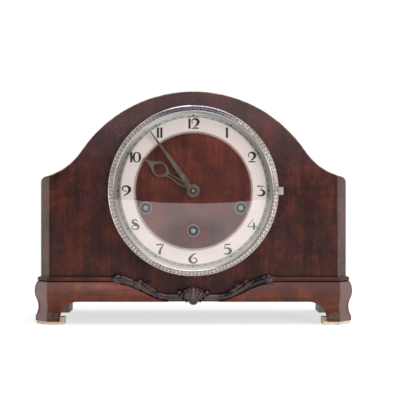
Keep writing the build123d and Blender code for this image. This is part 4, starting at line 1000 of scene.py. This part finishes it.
@dataclass
class Carving:
    """The carved swags, the shell between them and the toes' scrolls, in millimetres.

    Places are out from the middle and up from the floor, with a radius for round forms.
    """

    finishes: Finishes
    case_front: float = CASE_FRONT / MM
    step: float = 0.55
    sink: float = 0.5
    proud: float = 3.0
    crease: float = 75.0
    smoothing: float = 0.35
    ridge_height: float = 8.0
    roll: Sequence[Point2] = ((92.0, 54.6), (84.0, 53.6), (75.0, 50.4), (66.0, 46.2), (56.0, 41.4),
                              (48.0, 37.4), (40.0, 34.4), (30.0, 32.8), (14.0, 32.6))
    roll_reeds: Point2 = (-2.6, 0.2)
    roll_reeded: float = 34.0
    roll_leafy: Point2 = (42.0, 60.0)
    curls: Sequence[Triple] = ((63.0, 51.6, 2.7), (52.0, 49.0, 2.9))
    leaf: Sequence[Point2] = ((7.5, 0.4), (2.5, -3.2), (-3.0, -6.6), (-10.0, -10.6))
    knob: Triple = (90.4, 54.5, 5.6)
    berries: Sequence[Triple] = ((-3.0, 0.4, 2.0), (2.6, 2.0, 2.0))
    fan_root: float = 20.0
    flutes: float = 26.0
    shell: Triple = (36.4, 15.4, 8.6)
    eye: Triple = (16.6, 38.6, 3.3)
    drop: Triple = (30.6, 6.6, 7.6)
    fronds_root: float = 35.0
    fronds: Sequence[Four] = (
        (0.78, 3.0, 11.6, 1.7), (1.12, 5.0, 13.6, 1.7), (1.42, 8.0, 15.6, 1.6))
    toe_rings: Sequence[Triple] = ((170.4, 11.6, 2.8), (164.4, 11.2, 2.3))
    toe_line: Sequence[Point2] = ((173.5, 8.0), (168.0, 7.3), (161.5, 8.6))
    toe_proud: float = 3.0
    toe_flare: Point2 = (20.5, 11.5)

    def swag_height(self, x: float, z: float) -> float:
        """Gives the relief of a swag.

        Args:
            x: place out from the middle.
            z: height above the floor.

        Returns:
            The height of the carving over the case front, below 0 outside it.
        """
        height = -self.sink
        gap, run = near_path(x, z, self.roll)
        reach = 5.4 - 1.7 * min(1.0, run / 62.0)
        if abs(gap) < reach:
            height = 1.0 + 3.0 * dome(gap, reach)
            if run < self.roll_reeded:
                height += sum(0.75 * dome(gap - reed, 0.8) for reed in self.roll_reeds)
            start, end = self.roll_leafy
            if start < run < end:
                swell = math.sin(math.pi * (run - start) / (end - start))
                height += 0.5 * math.cos(2.4 * gap + 0.9 * run) * swell
            height -= 0.7 * dome(gap - reach + 1.5, 0.6)
        for cx, cz, size in self.curls:
            near, turn = math.hypot(x - cx, z - cz), math.atan2(z - cz, x - cx)
            height = mound(height, near - size * 0.74, 1.05, 1.4 + 0.3 * math.cos(turn), 3.2)
            height = mound(height, near, 1.0, 2.2, 1.9)
            leaf, along = near_path(x, z, [(cx + dx, cz + dz) for dx, dz in self.leaf])
            width = 0.4 + 2.2 * math.sin(math.pi * min(1.0, (along + 2.0) / 22.0))
            vein = 0.35 * math.cos(along * 1.9 + abs(leaf) * 1.6) * abs(leaf) / width
            height = mound(height, leaf, width, 1.6 + vein, 3.5)
        kx, kz, kr = self.knob
        gap = math.hypot(x - kx, z - kz)
        spiral = 0.4 * math.cos(math.atan2(z - kz, x - kx) + gap * 1.9) * gap / kr
        height = mound(height, gap, kr, 1.0 + spiral, 4.0)
        for dx, dz, size in self.berries:
            height = mound(height, math.hypot(x - kx - dx, z - kz - dz), size, 3.8, 2.6)
        return height + self.proud if height > 0.0 else height

    def shell_height(self, x: float, z: float) -> float:
        """Gives the relief of the shell.

        Args:
            x: place out from the middle.
            z: height above the floor.

        Returns:
            The height of the carving over the case front, below 0 outside it.
        """
        x = abs(x)
        fan = math.atan2(x, z - self.fan_root)
        flute = math.cos(fan * self.flutes)
        middle, wide, tall = self.shell
        body = math.hypot(x / wide, (z - middle) / tall)
        body -= 0.05 * flute * max(0.0, z - 40.0) / 5.0
        rise = 6.0 + 1.2 * (flute if fan > 0.12 else 1.0)
        height = mound(-self.sink, body, 1.0, 2.6, rise)
        ex, ez, er = self.eye
        height = mound(height, math.hypot(x - ex, z - ez), er, 3.0, 5.4)
        for angle, start, end, width in self.fronds:
            root, tip = ((far * math.sin(angle), self.fronds_root - far * math.cos(angle))
                         for far in (start, end))
            leaf, run = near_path(x, z, (root, tip))
            share = run / (end - start)
            height = mound(height, leaf, width * (1.0 - 0.45 * share), 1.6,
                           5.0 * (1.0 - 0.3 * share))
        middle, wide, tall = self.drop
        drop = math.hypot(x / wide, (z - middle) / tall)
        return mound(height, drop, 1.0, 2.4 - 0.5 * dome(x, 0.7), 6.0)

    def toe_height(self, x: float, z: float) -> float:
        """Gives the relief of the small scrolls on a toe of the plinth.

        Args:
            x: place out from the middle.
            z: height above the floor.

        Returns:
            The height over the plinth, below 0 outside the scrolls.
        """
        height = -self.sink
        for cx, cz, size in self.toe_rings:
            near = math.hypot(x - cx, z - cz)
            height = mound(height, near - size * 0.8, 0.8, 0.0, 0.9)
            height = mound(height, near, 0.9, 0.0, 0.8)
        return mound(height, near_path(x, z, self.toe_line)[0], 0.7, 0.0, 0.6)

    def toe_front(self, z: float) -> float:
        """Gives the depth of the plinth's front face at a height."""
        top, tall = self.toe_flare
        return self.case_front - self.toe_proud * (1 + min(1.0, max(0.0, (top - z) / tall)) ** 2)

    def wall_front(self, z: float) -> float:
        """Gives the depth of the case front, the same at every height."""
        return self.case_front

    def relief(self, low: Point2, high: Point2, height: Callable[[float, float], float],
               base: Callable[[float], float]) -> BMesh:
        """Raises a flat grid into a closed carving, with a twin if it stands off the middle.

        Args:
            low: lowest place of the carving, across and up.
            high: highest place of the carving.
            height: gives the relief at a place.
            base: gives the depth of the surface behind it at a height.

        Returns:
            The carving's mesh.
        """
        bm = bmesh.new()
        wide, tall = high[0] - low[0], high[1] - low[1]
        bmesh.ops.create_grid(bm, x_segments=round(wide / self.step),
                              y_segments=round(tall / self.step), size=0.5)
        middle = ((low[0] + high[0]) / 2, (low[1] + high[1]) / 2)
        ridge = bm.verts.layers.float.new("ridge")
        for vert in bm.verts:
            x, z = middle[0] + vert.co.x * wide, middle[1] + vert.co.y * tall
            rise = height(x, z)
            vert[ridge] = max(0.0, rise) / self.ridge_height
            vert.co = Vector((x, base(z) - rise, z)) * MM
        bare = [face for face in bm.faces if all(vert[ridge] == 0.0 for vert in face.verts)]
        bmesh.ops.delete(bm, geom=bare, context="FACES")
        bmesh.ops.smooth_vert(bm, verts=bm.verts[:], factor=self.smoothing, use_axis_x=False,
                              use_axis_y=True, use_axis_z=False)
        rim = [edge for edge in bm.edges if edge.is_boundary]
        wall = bmesh.ops.extrude_edge_only(bm, edges=rim)["geom"]
        for vert in (item for item in wall if isinstance(item, bmesh.types.BMVert)):
            vert.co.y = (base(vert.co.z / MM) + self.sink * 2) * MM
        back = [edge for edge in bm.edges if edge.is_boundary]
        bmesh.ops.holes_fill(bm, edges=back, sides=0)
        if low[0] > 0.0:
            twin = bmesh.ops.duplicate(bm, geom=bm.verts[:] + bm.edges[:] + bm.faces[:])["geom"]
            mirrored = [item for item in twin if isinstance(item, bmesh.types.BMVert)]
            bmesh.ops.scale(bm, vec=(-1, 1, 1), verts=mirrored)
        return bm

    def build(self) -> None:
        """Carves both swags, the scrolls on the toes and the shell."""
        for low, high, height, base, piece in (
                ((13.0, 26.5), (97.0, 61.5), self.swag_height, self.wall_front,
                 Piece("sculpted_swags", "case", "carved_wood", "carved", ("carved_swags",))),
                ((160.0, 6.0), (174.0, 15.0), self.toe_height, self.toe_front,
                 Piece("toe_scrolls", "case", "plinth_wood", "strip")),
                ((-20.0, 22.5), (20.0, 46.0), self.shell_height, self.wall_front,
                 Piece("sculpted_shell", "case", "carved_wood", "carved", ("carved_shell",)))):
            piece.settle(self.relief(low, high, height, base), self.finishes, self.crease)


@dataclass
class CaseFinish:
    """Dresses the carried-over CAD nodes."""

    finishes: Finishes

    PLAIN = "brass"
    WEAR = {
        "front": ("front_panel", "arched_top", "side_panels"),
        "strip": ("corner_strips",),
        "plinth": ("plinth_left", "plinth_right"),
        "bead": ("bead_mouldings",),
        "carved": ("carved_swags", "carved_shell"),
        "inside": ("bottom_board", "gong_block"),
        "back": ("back_frame", "back_door"),
        "pale": ("foot_blocks",),
        "dial": ("dial_centre",),
        "silvered": ("chapter_ring",),
        "trim": ("dial_line_ring", "glass_ring"),
        "grommet": ("winding_grommets",),
        "bezel": ("bezel_ring",),
        "tab": ("bezel_catch_tab",),
        "hinge": ("bezel_hinge_leaf", "bezel_hinge_bracket"),
        "plate": ("movement_front_plate", "dial_plate"),
        "glass": ("bezel_glass",),
        "hand": ("hour_hand", "minute_hand"),
        "nut": ("hand_nut",),
        "arbor": ("going_winding_arbor", "strike_winding_arbor", "chime_winding_arbor",
                  "cannon_pinion", "centre_wheel"),
        "steel": ("movement_posts", "movement_screws", "pallet_anchor", "pendulum_rod",
                  "hammer_rail", "gong_rods"),
        "iron": ("door_latch",),
    }

    def build(self) -> None:
        """Gives every CAD node its finish, the plain one where no other is named."""
        named = {node: key for key, nodes in self.WEAR.items() for node in nodes}
        for node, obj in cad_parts.items():
            material = self.finishes[named.get(node, self.PLAIN)]
            if not obj.material_slots:
                obj.data.materials.append(material)
            for holder in obj.material_slots:
                holder.material = material
            LOG.info("node %s wears %s", node, material.name)


@dataclass
class Studio:
    """Camera, lamps, pale floor and white surround, in metres."""

    eye: Triple = (0.008, -1.118, 0.1488)
    lens: float = 78.8
    target: Triple = (0.0, 0.0, 0.15)
    floor_size: float = 20.0
    floor_front: float = 3.1
    floor_drop: float = 0.0004
    floor_cuts: int = 63
    floor_sweep: float = 0.8
    floor_reach: float = 1.6
    glow: float = 1.6
    glow_span: Point2 = (0.2, 0.75)
    glow_share: Point2 = (0.4, 1.0)
    glow_level: Point2 = (1.0, 0.625)
    room: Colour = (52.53, 50.91, 52.53)
    room_span: Point2 = (0.4, 0.6)
    plain_light: float = 0.5

    STAND_ASIDE = (0.03, 0.16, 0.5, 0.0)
    STAND_NEAR = (-0.3, -0.4)
    STAND_FAR = (-1.3, -0.6)
    LAMPS = (
        ("key_lamp", (0.3, -0.5, 2.05), 1.5, 20.0),
        ("side_lamp", (1.4, -1.45, 0.5), 0.6, 12.0),
        ("fill_lamp", (-1.1, -1.4, 0.55), 0.9, 2.6),
        ("top_lamp", (0.1, 0.5, 1.7), 1.2, 6.0),
    )

    def camera(self) -> None:
        """Sets the camera level in front of the clock."""
        data = bpy.data.cameras.new("front_camera")
        data.lens = self.lens
        data.sensor_width = 36.0
        data.clip_start = 0.05
        eye = add_object("front_camera", data)
        eye.location = self.eye
        eye.rotation_euler = (math.pi / 2, 0.0, 0.0)
        bpy.context.scene.camera = eye

    def lamp(self, name: str, place: Triple, size: float, power: float) -> None:
        """Hangs a soft square lamp that faces the clock.

        Args:
            name: the lamp's name.
            place: where it hangs.
            size: its side.
            power: its power in watts.
        """
        data = bpy.data.lights.new(name, "AREA")
        data.size = size
        data.energy = power
        lamp = add_object(name, data)
        lamp.location = place
        aim = Vector(self.target) - Vector(place)
        lamp.rotation_euler = aim.to_track_quat("-Z", "Y").to_euler()

    def floor(self) -> None:
        """Lays the pale floor, whose front edge sweeps away at both sides."""
        bm = bmesh.new()
        bmesh.ops.create_grid(bm, x_segments=1, y_segments=1, size=self.floor_size)
        bmesh.ops.translate(bm, vec=(0, self.floor_size - self.floor_front, -self.floor_drop),
                            verts=bm.verts[:])
        front = [edge for edge in bm.edges if all(vert.co.y < 0 for vert in edge.verts)]
        bmesh.ops.subdivide_edges(bm, edges=front, cuts=self.floor_cuts)
        for vert in (vert for vert in bm.verts if vert.co.y < 0):
            vert.co.x *= (abs(vert.co.x) / self.floor_size) ** 2
            vert.co.y -= min(self.floor_sweep * vert.co.x ** 2, self.floor_reach)
        mesh = bpy.data.meshes.new("floor")
        bm.to_mesh(mesh)
        bm.free()
        mesh.materials.append(self.floor_finish())
        add_object("floor", mesh)

    def floor_finish(self) -> Material:
        """Makes the floor white to the camera, apart from the shadow.

        In gloss it shows a dim strip in front of the clock, as a camera stand gives.

        Returns:
            The floor's material.
        """
        graph = Graph("pale floor")
        graph.set(base_color=graph.spread(graph.noise(3.0, 2.0), 0.86, 0.9), roughness=0.8)
        path = graph.node("LightPath").outputs
        seen = graph.math("MAXIMUM", path["Is Camera Ray"], path["Is Glossy Ray"])
        seen = graph.math("MAXIMUM", seen, path["Is Transmission Ray"])
        away = graph.length(graph.axis("X"), graph.axis("Y"))
        share = graph.ramp(away, *zip(self.glow_span, self.glow_share))
        light = graph.ramp(away, *zip(self.glow_span, self.glow_level))
        stand = graph.times(graph.aside(*self.STAND_ASIDE), graph.along("Y", *self.STAND_NEAR),
                            graph.along("Y", *self.STAND_FAR), path["Is Glossy Ray"])
        glow = graph.node("Emission", graph.mix(stand, light, BLACK), self.glow)
        graph.cover(graph.times(seen, share), glow.outputs[0])
        return graph.material

    def surround(self) -> None:
        """Sets a white surround for the camera, a dim room for gloss and plain light."""
        world = bpy.data.worlds.new("studio")
        bpy.context.scene.world = world
        world.use_nodes = True
        tree = Tree(world.node_tree, "Generated")
        path = tree.node("LightPath").outputs
        seen = tree.math("MAXIMUM", path["Is Camera Ray"], path["Is Transmission Ray"])
        mirrored = tree.math("MINIMUM", path["Glossy Depth"], 1.0)
        room = tree.ramp(tree.along("Y", -1.0, 1.0), *zip(self.room_span, (self.room, WHITE)))
        plain = tree.node("Background", WHITE, self.plain_light).outputs[0]
        white = tree.node("Background", WHITE).outputs[0]
        glossy = tree.node("Background", room).outputs[0]
        light = tree.blend(mirrored, tree.blend(seen, plain, white), glossy)
        tree.node("OutputWorld", light)

    def build(self) -> None:
        """Builds the studio."""
        bpy.context.scene.view_settings.view_transform = "Standard"
        self.camera()
        for lamp in self.LAMPS:
            self.lamp(*lamp)
        self.floor()
        self.surround()


def main() -> None:
    """Builds the studio, dresses the CAD nodes and adds the modelled pieces."""
    logging.basicConfig(level=logging.INFO, format="%(name)s: %(message)s")
    Studio().build()
    finishes = Finishes()
    for part in (CaseFinish, Dial, BezelBand, DomedGlass, Carving):
        part(finishes).build()


if __name__ == "__main__":
    main()
